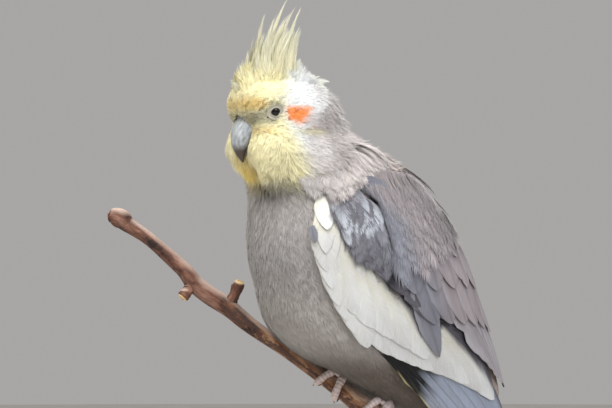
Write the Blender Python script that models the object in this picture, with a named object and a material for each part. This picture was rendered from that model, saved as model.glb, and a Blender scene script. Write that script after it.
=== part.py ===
"""A life-size cockatiel on a cut length of branch, held by a plain display stand.

Sizes are in millimetres in the bird's own frame and turned into metres when a mesh is made.
The bird faces -Y, its left side is +X and +Z is up. In the bird's frame the point (0, 0, 0) is
the middle of the branch under the right foot; the whole model then stands on the floor at z = 0.
"""

import math

import bmesh
import bpy
import numpy as np

MM = 0.001
GAP = 0.3
HAIR = 0.1
FLOOR_DROP = 170.0
BASE_RADIUS = 76.0
BASE_HEIGHT = 10.0
BASE_BEVEL = 1.2
BASE_CENTRE = np.array([0.0, 14.0])
ORIGIN_SHIFT = np.array([-BASE_CENTRE[0], -BASE_CENTRE[1], FLOOR_DROP])

HEAD_CENTRE = np.array([0.0, -23.0, 96.0])
HEAD_YAW = math.radians(8.0)

# Each lobe of flesh: centre, half sizes across, deep and long, and the pitch of its long side.
BODY_LOBES = {
    "torso": ((0, 6, 38), (26.5, 33, 54), 58),
    "breast": ((0, -2.4, 50), (26, 28.5, 30), 72),
    "mantle": ((0, 11, 61), (22, 20, 26), 52),
    "rump": ((0, 37, 8), (15, 15, 28), 60),
    "belly": ((0, -0.6, 26), (24, 25.5, 27), 50),
    "throat": ((0, -11, 75), (20.5, 19, 19), 60),
}
# The lobes of the head, in its own turned frame: side, forward, up.
HEAD_LOBES = {
    "skull": ((0, -1.8, 1.2), (16.8, 20, 13.0)),
    "brow": ((0, 10.0, 5.5), (12.0, 11.5, 8.5)),
    "cheek_left": ((7.0, 4.0, -10.0), (11.0, 14.5, 11.5)),
    "cheek_right": ((-7.0, 4.0, -10.0), (11.0, 14.5, 11.5)),
}
BODY_BLEND = 9.0
HEAD_BLEND = 4.0
NECK_BLEND = 7.0
BELLY_POINT = np.array([0.0, -5.6, 4.5])
BELLY_SLOPE = math.radians(31.0)
BELLY_BLEND = 7.0

# The line inside the body that the rays to its surface start from: y and z from rump to head.
SPINE = np.array([(39, 5), (24, 21), (10, 41), (-2, 60), (-13, 78), (-23, 96)], float)
SECTORS = 30
CAP_RINGS = 7
BODY_RINGS = 17
NECK_RING = 11
HEAD_RING = 13

# The surface that the folded wings lie in: t runs down the back, phi round from the mid-back.
WING_TOP = np.array([0.0, -9.3, 75.0])
WING_PITCH = math.radians(62.0)
WING_STATIONS = np.array([0, 15, 28, 47, 66, 98, 130, 172], float)
WING_WIDTH = np.array([24, 27.5, 29.5, 30, 27.5, 19.5, 13.5, 8.5])
WING_DEPTH = np.array([28, 32.5, 36, 37.5, 35.5, 31.5, 22.5, 10.5])
WING_SHELL = 2.6

TAIL_ROOT = np.array([0.0, 46.0, -9.0])
TAIL_PITCH = math.radians(66.5)
TAIL_LENGTH = 160.0

WING_MIDDLE = 0.4
WING_REACH = 24.0
WING_ABOVE = 8.0
WING_FIRST = 2.0
WING_LAST = 104.0
WING_ROWS = 11
WING_COLUMNS = 6
WING_SHOULDER = 8.0
WING_SHOULDER_SPAN = 60.0
WING_SUNK = 0.8
WING_THINNEST = 1.3
WING_DEEPEST = 7.5
WING_FREE = (58.0, 88.0)
WING_EDGE_STATIONS = np.array([0, 12, 26, 42, 56, 69, 90, 120, 172], float)
WING_DORSAL_EDGE = np.array([70, 44, 34, 26, 17, 10, 3, 1, 1], float)
WING_FRONT_EDGE = np.array([112, 128, 131, 133, 127, 117, 104, 66, 36], float)

# Each tier of wing feathers from the lowest up: roots and tips as (t, phi) along the tier, how
# many, half width, lift over the core at the root and the tip, how pointed, and rows of points.
WING_TIERS = (
    (((58, 112), (70, 84)), ((166, 36), (172, 28), (160, 20), (132, 15)), 6, 4.8, -0.1, 0.1, 0.9, 6),
    (((36, 90), (28, 44)), ((88, 70), (99, 44), (103, 20)), 5, 6.2, -0.2, 0.5, 0.35, 5),
    (((4, 110), (20, 109), (44, 98), (62, 84)), ((24, 131), (50, 129), (78, 92), (100, 50)),
     7, 5.8, -0.1, 1.0, 0.35, 4),
    (((26, 100), (27, 78)), ((48, 104), (50, 80)), 3, 5.0, 0.0, 1.1, 0.2, 3),
    (((14, 102), (13, 76)), ((34, 105), (36, 82)), 3, 5.2, 0.1, 1.3, 0.2, 3),
    (((4, 100), (4, 76)), ((20, 106), (22, 84)), 3, 4.8, 0.2, 1.5, 0.2, 3),
    (((8, 56), (24, 34)), ((50, 72), (62, 40)), 3, 5.6, 0.1, 1.6, 0.3, 4),
    (((4, 70), (10, 50)), ((30, 82), (42, 62)), 3, 5.0, 0.3, 1.9, 0.3, 4),
)
VANE_PLACES = (0.0, 0.35, 0.7, 0.88, 1.0)
VANE_WIDTHS = (0.45, 0.9, 1.0, 0.82, 0.3)
POINTED_PLACES = (0.0, 0.5, 0.88, 1.0)
POINTED_WIDTHS = (0.8, 1.0, 0.5, 0.1)
TIP_STRETCH = (1.0, 3.0)
TIP_PULL = 0.55
VANE_THICK = 0.7
VANE_SUNK = 0.35
VANE_DEEPEST = 1.0
VANE_TILT = 0.3
VANE_DOME = 0.2
VANE_SHARES = np.array([-1.0, 0.0, 1.0])
VANE_CLEAR = 6.0

TAIL_SUNK = 14.0
TAIL_CORE = 62.0
TAIL_CORE_ROWS = 7
TAIL_SIDES = 10
# The tail core's half widths and half heights at its root, half way and at its end.
TAIL_CORE_PLACES = (0.0, 30.0, TAIL_CORE)
TAIL_CORE_WIDTHS = (7.6, 7.6, 4.0)
TAIL_CORE_HEIGHTS = (4.2, 3.0, 1.4)
TAIL_THICK = 0.6
# The tail's pairs of feathers from the middle out: length, place across at the tip, half width, lift.
TAIL_PAIRS = ((TAIL_LENGTH, 1.6, 4.2, 1.9), (151, 2.8, 4.2, 1.3), (136, 4.0, 4.2, 0.7),
              (117, 5.2, 4.0, 0.1), (97, 6.2, 3.8, -0.5), (78, 7.0, 3.6, -1.1))
# Coverts over and under the tail: length, place across, half width and lift at the tip.
TAIL_COVERTS = ((56, 2.2, 3.8, 3.3), (36, 3.0, 4.0, 3.7), (58, 2.6, 4.0, -2.8))
TAIL_ROWS = 4
TAIL_POINTED = 0.9
TAIL_ROOT_SHARE = 0.4
TAIL_RISE = 3.0
TAIL_RISE_FROM = 0.3

# The crest's feather tips from the forehead back, forward and up in the head's frame.
CREST_TIPS = ((19.0, 20.5), (15.0, 27.6), (9.8, 38.0), (4.5, 37.0), (-2.6, 44.0), (-4.0, 33.0),
              (-8.0, 40.5), (-9.5, 28.0), (-8.5, 22.0))
CREST_ROOTS = (16.5, -5.0)
CREST_SPREAD = 1.6
CREST_LEAN = 0.8
CREST_SUNK = 0.7
CREST_SHORTER = 0.9
CREST_STAGGER = 0.6
CREST_HALF = 1.5
CREST_THICK = 0.65
CREST_BOW = 0.12
CREST_BASE = (3.4, 1.3)
CREST_BASE_STEPS = 6
CREST_MARGIN = 0.8
CREST_OVAL = 0.93
CREST_ROWS = np.array([0.0, 0.4, 0.75, 1.0])
CREST_WIDTHS = np.array([0.4, 1.0, 0.85, 0.12])

# The halves of the beak along their middle lines: forward, up, half width and half height.
UPPER_BEAK = ((10.0, -1.2, 5.6, 5.2), (14.4, -2.6, 5.5, 5.2), (17.2, -5.6, 4.7, 4.2),
              (18.2, -9.0, 3.3, 2.8), (17.6, -12.2, 1.8, 1.4), (16.2, -14.6, 0.4, 0.3))
LOWER_BEAK = ((8.5, -10.8, 3.6, 1.8), (11.5, -11.4, 3.5, 1.9), (14.4, -12.2, 2.4, 1.2))
CHIN_NOTCH = ((9.5, -11.6, 4.2, 2.6), (15.0, -12.4, 4.2, 3.0), (19.0, -13.0, 4.4, 3.4),
              (26.0, -13.0, 5.0, 4.0))
BEAK_STEPS = 10
BEAK_SIDES = 12
EYE_RADIUS = 3.2
EYE_PROUD = 1.1
EYE_PLACE = (12.6, 2.8)
# The lids: how far over the eyeball, and the half angles of their opening and of their outer rim.
LID_LIFT = 0.85
LID_SINK = 0.2
LID_OPENING = (28.0, 32.0)
LID_RIM = (66.0, 60.0)
LID_STEPS = 14
NOSTRIL = (2.3, 15.6, 1.0)
NOSTRIL_RADIUS = 0.65

VIEW_AZIMUTH = math.radians(63.0)
BRANCH_DEPTH = -3.8
BRANCH_TURN = 0.25
# The branch from its knob to its cut end: place along the picture, height and radius.
BRANCH_STATIONS = (
    (-84.6, 61.0, 2.2), (-83.0, 61.0, 3.3), (-80.0, 59.8, 3.4), (-76.4, 56.6, 2.5), (-69.4, 52.0, 2.3),
    (-59.0, 42.8, 2.8), (-53.0, 36.2, 3.3), (-43.8, 29.6, 3.5), (-33.0, 21.4, 3.0),
    (-22.0, 13.8, 3.0), (-10.0, 5.6, 3.0), (0.0, -1.8, 3.2), (10.0, -8.8, 3.9),
    (18.0, -13.8, 3.9), (24.0, -17.0, 3.7),
)
BRANCH_STEPS = 32
BRANCH_SIDES = 9
# Cut side twigs: place along the branch, way in the picture and towards the viewer, length, radius.
STUBS = ((-53.5, (-0.62, -0.75, 0.25), 6.6, 2.2), (-41.0, (0.40, 0.88, 0.30), 10.6, 2.1))

FOOT_PLACES = {"right": -2.5, "left": 13.5}
FOOT_ROOM = 3.8
FOOT_ROOM_LENGTH = 7.5
TOE_STEPS = 7
TOE_SIDES = 6
TOE_START = -8.0
TOE_ROOT_SHARE = 0.25
# Each toe: front or back, spread along the branch, how far round it reaches, half thickness.
TOES = ((1, -4.2, 155, 1.5), (1, 3.6, 165, 1.6), (-1, -3.6, 150, 1.4), (-1, 3.4, 160, 1.5))
PAD_LENGTH = 2.6
PAD_WIDTH = 2.9
PAD_THICK = 1.2
SHANK_LENGTH = 4.4
SHANK_RADIUS = 1.75
HIP_PLACE = (12.5, 9.0, 20.0)
LEG_SIZES = (6.5, 7.0, 5.6, 3.8, 2.4)
LEG_STEPS = 7
SOCKET_DEPTH = 4.0

ROD_RADIUS = 2.2
ROD_PLACE = 5.5
ROD_SUNK = 0.6
ROD_SOCKET = 7.0


def clear_scene():
    """Starts from an empty scene."""
    for found in list(bpy.data.objects):
        bpy.data.objects.remove(found, do_unlink=True)


def paint(name, colour, roughness, metallic=0.0):
    """One material with its own Principled shader."""
    material = bpy.data.materials.new(name)
    material.use_nodes = True
    shader = material.node_tree.nodes["Principled BSDF"]
    shader.inputs["Base Color"].default_value = (*colour, 1.0)
    shader.inputs["Roughness"].default_value = roughness
    shader.inputs["Metallic"].default_value = metallic
    return material


def add_solid(name, points, faces):
    """An object made from points in the bird's frame, in millimetres."""
    mesh = bpy.data.meshes.new(name)
    placed = (np.asarray(points, float) + ORIGIN_SHIFT) * MM
    mesh.from_pydata(placed.tolist(), [], [list(map(int, face)) for face in faces])
    mesh.update()
    made = bpy.data.objects.new(name, mesh)
    bpy.context.scene.collection.objects.link(made)
    shell = bmesh.new()
    shell.from_mesh(mesh)
    bmesh.ops.recalc_face_normals(shell, faces=shell.faces)
    shell.to_mesh(mesh)
    shell.free()
    return made


def loft(name, rings, tip=None, foot=None):
    """A closed solid through rings of points, each end a flat cap or a single point."""
    rings = np.asarray(rings, float)
    count, around = rings.shape[:2]
    points = rings.reshape(-1, 3)
    faces = []
    for row in range(count - 1):
        for step in range(around):
            after = (step + 1) % around
            low, high = row * around, (row + 1) * around
            faces.append((low + step, low + after, high + after))
            faces.append((low + step, high + after, high + step))
    ends = [(foot, 0), (tip, (count - 1) * around)]
    for end, start in ends:
        loop = [start + step for step in range(around)]
        centre = points[loop].mean(axis=0) if end is None else np.asarray(end, float)
        points = np.vstack([points, centre])
        hub = len(points) - 1
        faces += [(loop[step], loop[(step + 1) % around], hub) for step in range(around)]
    return add_solid(name, points, faces)


def sweep(name, line, widths, heights, across, sides=10, margin=0.0, reach=0.0):
    """A solid of oval section along a line; across is the direction of its width.

    With a margin it is the socket of that solid, which also reaches past its last ring.
    """
    line = np.asarray(line, float)
    tangents = np.gradient(line, axis=0)
    tangents /= np.linalg.norm(tangents, axis=1)[:, None]
    across = np.asarray(across, float)
    angles = np.linspace(0, 2 * math.pi, sides, endpoint=False)
    rings = []
    for point, tangent, width, height in zip(line, tangents, widths, heights):
        side = across - tangent * (across @ tangent)
        side /= np.linalg.norm(side)
        up = np.cross(side, tangent)
        oval = (np.cos(angles)[:, None] * side * (width + margin)
                + np.sin(angles)[:, None] * up * (height + margin))
        rings.append(point + oval)
    if margin:
        rings.insert(0, rings[0] - tangents[0] * margin)
        rings.append(rings[-1] + tangents[-1] * max(reach, margin))
    return loft(name, rings)


def smooth_line(points, count):
    """Points evenly set on a smooth curve through the given ones."""
    points = np.asarray(points, float)
    ends = np.vstack([2 * points[0] - points[1], points, 2 * points[-1] - points[-2]])
    places = np.linspace(0, len(points) - 1, count)
    line = []
    for place in places:
        step = min(int(place), len(points) - 2)
        u = place - step
        p0, p1, p2, p3 = ends[step:step + 4]
        line.append(0.5 * (2 * p1 + (p2 - p0) * u + (2 * p0 - 5 * p1 + 4 * p2 - p3) * u ** 2
                           + (3 * p1 - p0 - 3 * p2 + p3) * u ** 3))
    return np.array(line)


def join(name, pieces):
    """Joins pieces into one closed body and keeps the largest surface."""
    body = pieces[0]
    body.name = name
    others = bpy.data.collections.new(name + "_pieces")
    bpy.context.scene.collection.children.link(others)
    for piece in pieces[1:]:
        bpy.context.scene.collection.objects.unlink(piece)
        others.objects.link(piece)
    union = body.modifiers.new("union", "BOOLEAN")
    union.operation = "UNION"
    union.operand_type = "COLLECTION"
    union.collection = others
    apply_modifiers(body)
    for piece in list(others.objects):
        bpy.data.objects.remove(piece, do_unlink=True)
    bpy.data.collections.remove(others)
    keep_largest(body)
    return body


def carve(body, cutters):
    """Cuts closed shapes from a body and removes them."""
    for cutter in cutters:
        cut = body.modifiers.new("cut", "BOOLEAN")
        cut.operation = "DIFFERENCE"
        cut.object = cutter
        apply_modifiers(body)
        bpy.data.objects.remove(cutter, do_unlink=True)
    keep_largest(body)
    return body


def apply_modifiers(body):
    """Turns an object's modifiers into its mesh."""
    bpy.context.view_layer.update()
    graph = bpy.context.evaluated_depsgraph_get()
    mesh = bpy.data.meshes.new_from_object(body.evaluated_get(graph))
    body.modifiers.clear()
    body.data = mesh


def keep_largest(body):
    """Drops every closed surface but the largest from a mesh, with stray points closed up."""
    shell = bmesh.new()
    shell.from_mesh(body.data)
    bmesh.ops.remove_doubles(shell, verts=shell.verts, dist=1e-6)
    bmesh.ops.dissolve_degenerate(shell, edges=shell.edges, dist=1e-6)
    bmesh.ops.triangulate(shell, faces=shell.faces)
    shell.faces.ensure_lookup_table()
    groups = []
    seen = set()
    for first in shell.faces:
        if first.index in seen:
            continue
        group, waiting = [], [first]
        seen.add(first.index)
        while waiting:
            face = waiting.pop()
            group.append(face)
            for edge in face.edges:
                for near in edge.link_faces:
                    if near.index not in seen:
                        seen.add(near.index)
                        waiting.append(near)
        groups.append(group)
    groups.sort(key=len)
    dropped = [face for group in groups[:-1] for face in group]
    bmesh.ops.delete(shell, geom=dropped, context="FACES")
    bmesh.ops.delete(shell, geom=[v for v in shell.verts if not v.link_faces], context="VERTS")
    shell.to_mesh(body.data)
    shell.free()


def finish(body, material, sharp=40):
    """Gives a body its material and smooth shading."""
    body.data.materials.clear()
    body.data.materials.append(material)
    body.data.shade_smooth()
    body.data.set_sharp_from_angle(angle=math.radians(sharp))
    return body


def lobe_distance(points, centre, sizes, axes):
    """About how far points are outside an oval lobe, in millimetres."""
    local = (points - np.asarray(centre, float)) @ axes.T
    sizes = np.asarray(sizes, float)
    reach = np.linalg.norm(local / sizes, axis=-1)
    slope = np.linalg.norm(local / sizes ** 2, axis=-1)
    return reach * (reach - 1.0) / np.maximum(slope, 1e-6)


def blend_near(a, b, width):
    """The smaller of two distances, rounded where they meet."""
    mix = np.clip(0.5 + 0.5 * (b - a) / width, 0.0, 1.0)
    return b * (1 - mix) + a * mix - width * mix * (1 - mix)


def pitched_axes(pitch):
    """Rows: across, deep and long axes of a lobe leaning forward at the pitch, in radians."""
    long_way = np.array([0.0, -math.cos(pitch), math.sin(pitch)])
    deep = np.array([0.0, math.sin(pitch), math.cos(pitch)])
    return np.array([[1.0, 0.0, 0.0], deep, long_way])


def head_axes():
    """Rows: side, forward and up of the turned head."""
    side = np.array([math.cos(HEAD_YAW), math.sin(HEAD_YAW), 0.0])
    forward = np.array([math.sin(HEAD_YAW), -math.cos(HEAD_YAW), 0.0])
    return np.array([side, forward, [0.0, 0.0, 1.0]])


def head_place(side, forward, up):
    """A point given in the head's own frame."""
    return HEAD_CENTRE + np.array([side, forward, up], float) @ head_axes()


def flesh_distance(points):
    """About how far points are outside the feathered body."""
    body = None
    for centre, sizes, pitch in BODY_LOBES.values():
        lobe = lobe_distance(points, centre, sizes, pitched_axes(math.radians(pitch)))
        body = lobe if body is None else blend_near(body, lobe, BODY_BLEND)
    under = np.array([0.0, -math.sin(BELLY_SLOPE), -math.cos(BELLY_SLOPE)])
    below = (points - BELLY_POINT) @ under
    body = -blend_near(-body, -below, BELLY_BLEND)
    head = None
    for centre, sizes in HEAD_LOBES.values():
        lobe = lobe_distance(points, head_place(*centre), sizes, head_axes())
        head = lobe if head is None else blend_near(head, lobe, HEAD_BLEND)
    return blend_near(body, head, NECK_BLEND)


def spine_frame(place):
    """The spine's point, its direction and its dorsal side at a place from 0, rump, to 1, head."""
    steps = np.linspace(0, 1, len(SPINE) * 8)
    line = smooth_line(np.column_stack([np.zeros(len(SPINE)), SPINE]), len(steps))
    point = np.array([np.interp(place, steps, line[:, axis]) for axis in range(3)])
    ahead = np.array([np.interp(min(place + 0.05, 1), steps, line[:, axis]) for axis in range(3)])
    behind = np.array([np.interp(max(place - 0.05, 0), steps, line[:, axis]) for axis in range(3)])
    along = (ahead - behind) / np.linalg.norm(ahead - behind)
    dorsal = np.cross([1.0, 0.0, 0.0], along)
    return point, along, -dorsal if dorsal[1] < 0 else dorsal


def ray_grid():
    """Starts and directions of the rays to the body's surface, ring by ring from rump to crown."""
    angles = np.linspace(0, 2 * math.pi, SECTORS, endpoint=False)
    rings = []
    for step in range(CAP_RINGS):
        rings.append((0.0, -math.pi / 2 * (1 - step / CAP_RINGS)))
    rings += [(place, 0.0) for place in np.linspace(0, 1, BODY_RINGS)]
    for step in range(1, CAP_RINGS + 1):
        rings.append((1.0, math.pi / 2 * step / CAP_RINGS))
    starts, ways = [], []
    for place, lean in rings:
        point, along, dorsal = spine_frame(place)
        side = np.array([1.0, 0.0, 0.0])
        round_way = np.sin(angles)[:, None] * side + np.cos(angles)[:, None] * dorsal
        starts.append(np.repeat(point[None], SECTORS, axis=0))
        ways.append(math.cos(lean) * round_way + math.sin(lean) * along)
    return np.array(starts), np.array(ways)


def surface_reach(starts, ways, distance, lift=0.0, longest=90.0):
    """How far along each ray the surface lies, found by halving."""
    low = np.zeros(starts.shape[:-1])
    high = np.full(starts.shape[:-1], longest)
    for _ in range(26):
        middle = (low + high) / 2
        inside = distance(starts + ways * middle[..., None]) < lift
        low = np.where(inside, middle, low)
        high = np.where(inside, high, middle)
    return low


def envelope_frame(t):
    """The wing surface's centre, its dorsal way and its half sizes at t millimetres down."""
    down = np.array([0.0, math.cos(WING_PITCH), -math.sin(WING_PITCH)])
    dorsal = np.array([0.0, math.sin(WING_PITCH), math.cos(WING_PITCH)])
    width = smooth_interp(t, WING_STATIONS, WING_WIDTH)
    depth = smooth_interp(t, WING_STATIONS, WING_DEPTH)
    return WING_TOP + np.multiply.outer(t, down), dorsal, width, depth


def smooth_interp(value, stations, sizes):
    """A smooth curve through sizes at stations."""
    value = np.asarray(value, float)
    slopes = np.gradient(sizes, stations)
    index = np.clip(np.searchsorted(stations, value) - 1, 0, len(stations) - 2)
    span = stations[index + 1] - stations[index]
    u = np.clip((value - stations[index]) / span, 0.0, 1.0)
    return ((1 + 2 * u) * (1 - u) ** 2 * sizes[index] + u * (1 - u) ** 2 * span * slopes[index]
            + u ** 2 * (3 - 2 * u) * sizes[index + 1] + u ** 2 * (u - 1) * span * slopes[index + 1])


def wing_point(t, phi, lift, hand=1):
    """A point on the folded wings' surface; phi in degrees from the mid-back."""
    t, phi, lift = np.broadcast_arrays(*(np.asarray(v, float) for v in (t, phi, lift)))
    centre, dorsal, width, depth = envelope_frame(t)
    turn = np.radians(phi)
    side = np.array([1.0, 0.0, 0.0])
    out_side = ((width + lift) * np.sin(turn))[..., None] * side
    out_back = ((depth + lift) * np.cos(turn))[..., None] * dorsal
    point = centre + out_side + out_back
    point[..., 0] = np.maximum(point[..., 0], WING_MIDDLE)
    return point * np.array([hand, 1.0, 1.0])


def wing_rest(t, phi):
    """How far above the wing surface the body lies there, below zero where it is inside."""
    low = wing_point(t, phi, -WING_REACH)
    high = wing_point(t, phi, WING_ABOVE)
    way = high - low
    far = np.linalg.norm(way, axis=-1)
    unit_way = way / np.maximum(far, 1e-9)[..., None]
    found = surface_reach(low, unit_way, flesh_distance, longest=WING_REACH + WING_ABOVE)
    return np.minimum(found, far) - WING_REACH


def wing_edges(t):
    """The dorsal and the front edge of the folded wing, in degrees from the mid-back."""
    dorsal = smooth_interp(t, WING_EDGE_STATIONS, WING_DORSAL_EDGE)
    front = smooth_interp(t, WING_EDGE_STATIONS, WING_FRONT_EDGE)
    return dorsal, front


def wing_layers(t, phi):
    """The lift of the wing core's inner and outer face."""
    inner = np.interp(t, WING_FREE, (-WING_DEEPEST, -WING_SHELL))
    outer = np.maximum(-WING_SUNK, wing_rest(t, phi) + GAP + WING_THINNEST)
    return inner, outer


def wing_core(name, hand):
    """The smooth body of a folded wing under its feathers, lying 0.3 mm off the body."""
    rows = np.linspace(WING_FIRST, WING_LAST, WING_ROWS)
    shares = np.linspace(0, 1, WING_COLUMNS)
    dorsal, front = wing_edges(rows)
    phi = dorsal[:, None] + (front - dorsal)[:, None] * shares
    fade = np.clip(1 - (rows - WING_FIRST) / WING_SHOULDER_SPAN, 0, 1)
    t = rows[:, None] + WING_SHOULDER * fade[:, None] * (1 - shares)
    inner, outer = wing_layers(t, phi)
    top = wing_point(t, phi, outer, hand)
    under = wing_point(t, phi, inner, hand)
    core = loft(name, np.concatenate([top, under[:, ::-1]], axis=1))
    return carve(core, [body_form("body_room", GAP), tail_sweep("tail_room", GAP)])


def plate(name, top, under):
    """A thin closed plate between two grids of points."""
    rows, across = top.shape[:2]
    count = rows * across
    faces = []
    for row in range(rows - 1):
        for step in range(across - 1):
            first = row * across + step
            ahead = first + across
            for a, b, c in ((first, first + 1, ahead + 1), (first, ahead + 1, ahead)):
                faces += [(a, b, c), (a + count, b + count, c + count)]
    rim = [*range(across), *[row * across + across - 1 for row in range(1, rows)],
           *range(count - 2, count - across - 1, -1), *[row * across for row in range(rows - 2, 0, -1)]]
    for near, after in zip(rim, rim[1:] + rim[:1]):
        faces += [(near, after, after + count), (near, after + count, near + count)]
    return add_solid(name, np.concatenate([top.reshape(-1, 3), under.reshape(-1, 3)]), faces)


def vane_rows(count, length, half, pointed):
    """Places from root to tip of a vane's rows of points, the last stretch being its tip."""
    stretch = half * np.interp(pointed, (0, 1), TIP_STRETCH)
    return np.append(np.linspace(0, 1 - stretch / length, count - 1), 1.0)


def vane_sizes(half, pointed, rows):
    """Half widths along a vane, round at the tip or pointed."""
    blunt = np.interp(rows, VANE_PLACES, VANE_WIDTHS)
    sharp = np.interp(rows, POINTED_PLACES, POINTED_WIDTHS)
    return half * (blunt * (1 - pointed) + sharp * pointed)


def wing_vane(root, tip, half, low, high, pointed, count, hand):
    """A flight or covert feather lying along the wing's surface."""
    rows = vane_rows(count, tip[0] - root[0], half, pointed)
    t = root[0] + (tip[0] - root[0]) * rows
    phi = root[1] + (tip[1] - root[1]) * rows
    beside = wing_point(t, phi + 1.0, 0.0) - wing_point(t, phi, 0.0)
    per_degree = np.maximum(np.linalg.norm(beside, axis=-1), HAIR)
    slope = np.gradient(phi) * per_degree / np.gradient(t)
    sizes = vane_sizes(half, pointed, rows) / np.hypot(1.0, slope)
    pull = np.where(rows == 1.0, TIP_PULL, 0.0) * half * (1 - pointed)
    grid_t = t[:, None] - (slope * sizes)[:, None] * VANE_SHARES - pull[:, None] * np.abs(VANE_SHARES)
    grid_phi = phi[:, None] + (sizes / per_degree)[:, None] * VANE_SHARES
    outer = wing_layers(grid_t, grid_phi)[1]
    rise = low + (high - low) * rows
    top = outer + rise[:, None] + VANE_TILT * VANE_SHARES + VANE_DOME * (1 - np.abs(VANE_SHARES))
    free = np.clip((grid_t - WING_LAST + VANE_CLEAR) / VANE_CLEAR, 0, 1)
    sunk = np.clip(top - VANE_THICK, outer - VANE_DEEPEST, outer - VANE_SUNK)
    under = sunk * (1 - free) + (top - VANE_THICK) * free
    return plate("vane", wing_point(grid_t, grid_phi, top, hand), wing_point(grid_t, grid_phi, under, hand))


def along_points(points, count):
    """Places evenly set along a row of points."""
    points = np.asarray(points, float)
    places = np.linspace(0, len(points) - 1, count)
    return np.array([np.interp(places, range(len(points)), points[:, axis]) for axis in (0, 1)]).T


def wing(name, hand):
    """A folded wing: its core with every tier of feathers on it."""
    pieces = [wing_core(name, hand)]
    for roots, tips, count, *sizes in WING_TIERS:
        for root, tip in zip(along_points(roots, count), along_points(tips, count)):
            pieces.append(wing_vane(root, tip, *sizes, hand))
    return join(name, pieces)


def tail_axes():
    """Rows: across, dorsal and along the tail."""
    along = np.array([0.0, math.cos(TAIL_PITCH), -math.sin(TAIL_PITCH)])
    dorsal = np.array([0.0, math.sin(TAIL_PITCH), math.cos(TAIL_PITCH)])
    return np.array([[1.0, 0.0, 0.0], dorsal, along])


def tail_sweep(name, margin=0.0):
    """The tail's tapered core, or its socket in the rump."""
    across, _, along = tail_axes()
    places = np.linspace(-TAIL_SUNK, TAIL_CORE, TAIL_CORE_ROWS)
    line = TAIL_ROOT + places[:, None] * along
    widths = np.interp(places, TAIL_CORE_PLACES, TAIL_CORE_WIDTHS)
    heights = np.interp(places, TAIL_CORE_PLACES, TAIL_CORE_HEIGHTS)
    return sweep(name, line, widths, heights, across, sides=TAIL_SIDES, margin=margin)


def tail_vane(length, offset, half, lift, side):
    """One feather of the folded tail, from inside the core to its tip."""
    axes = tail_axes()
    rows = vane_rows(TAIL_ROWS, length, half, TAIL_POINTED)
    places = length * rows
    sizes = vane_sizes(half, TAIL_POINTED, rows)
    sizes[0] *= TAIL_ROOT_SHARE
    middle = side * offset * np.clip(TAIL_ROOT_SHARE + rows, 0, 1)
    across = middle[:, None] + sizes[:, None] * VANE_SHARES
    rise = lift * np.clip(TAIL_RISE * rows, TAIL_RISE_FROM, 1)
    height = rise[:, None] + VANE_DOME * (1 - np.abs(VANE_SHARES))
    along = np.repeat(places[:, None], len(VANE_SHARES), axis=1)
    top = TAIL_ROOT + np.stack([across, height, along], axis=-1) @ axes
    under = TAIL_ROOT + np.stack([across, height - TAIL_THICK, along], axis=-1) @ axes
    return plate("vane", top, under)


def tail(name):
    """The folded tail: long pointed feathers in pairs, with coverts over and under their roots."""
    pieces = [tail_sweep(name)]
    for length, offset, half, lift in TAIL_PAIRS + TAIL_COVERTS:
        for side in (1, -1):
            pieces.append(tail_vane(length, offset, half, lift, side))
    return join(name, pieces)


def crest_vane(root, tip):
    """One narrow feather of the crest, bowed a little forward."""
    away = tip - root
    across = head_axes()[0]
    bow = np.cross(across, away) * CREST_BOW
    bow *= np.sign(bow @ head_axes()[1]) or 1.0
    line = root + CREST_ROWS[:, None] * away + (4 * CREST_ROWS * (1 - CREST_ROWS))[:, None] * bow
    way = np.gradient(line, axis=0)
    way /= np.linalg.norm(way, axis=1)[:, None]
    flat = np.cross(way, across)
    sizes = (CREST_HALF * CREST_WIDTHS)[:, None, None] * VANE_SHARES[None, :, None]
    middle = line[:, None] + flat[:, None] * sizes
    thick = across * CREST_THICK / 2
    return plate("vane", middle + thick, middle - thick)


def crest(name):
    """The erect crest: narrow feathers in two rows on a low patch of the crown."""
    front, back = CREST_ROOTS
    half, lift = CREST_BASE
    forward = np.linspace(front + CREST_MARGIN, back - CREST_MARGIN, CREST_BASE_STEPS)
    sides = half * np.sqrt(1 - np.linspace(-CREST_OVAL, CREST_OVAL, CREST_BASE_STEPS) ** 2)
    grid = [[(share * side, place) for share in (-1, 0, 1)] for side, place in zip(sides, forward)]
    top = np.array([[crown_place(side, place, lift) for side, place in row] for row in grid])
    under = np.array([[crown_place(side, place, GAP) for side, place in row] for row in grid])
    pieces = [plate(name, top, under)]
    for place, (ahead, up) in zip(np.linspace(front, back, len(CREST_TIPS)), CREST_TIPS):
        for side, share in ((1, 1.0), (-1, CREST_SHORTER)):
            shift = place - side * CREST_STAGGER
            root = crown_place(side * CREST_SPREAD, shift, lift - CREST_SUNK)
            tip = head_place(side * CREST_SPREAD * CREST_LEAN, ahead, up)
            pieces.append(crest_vane(root, root + (tip - root) * share))
    return join(name, pieces)


def lids(name, side):
    """The two lids as one raised ring round the eye, over the ball and down into the head."""
    centre = eye_centre(side)
    point, out = head_surface(*EYE_PLACE, side)
    up = np.array([0.0, 0.0, 1.0]) - out * out[2]
    up /= np.linalg.norm(up)
    ahead = np.cross(up, out)
    rings = []
    for turn in np.linspace(0, 2 * math.pi, LID_STEPS, endpoint=False):
        way = math.cos(turn) * ahead + math.sin(turn) * up
        section = []
        deep, high = EYE_RADIUS - LID_SINK, EYE_RADIUS + LID_LIFT
        for (wide, tall), radius in ((LID_OPENING, deep), (LID_OPENING, high), (LID_RIM, high), (LID_RIM, deep)):
            lean = math.radians(math.hypot(wide * math.cos(turn), tall * math.sin(turn)))
            section.append(centre + radius * (math.cos(lean) * out + math.sin(lean) * way))
        rings.append(section)
    return closed_ring(name, rings)


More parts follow.
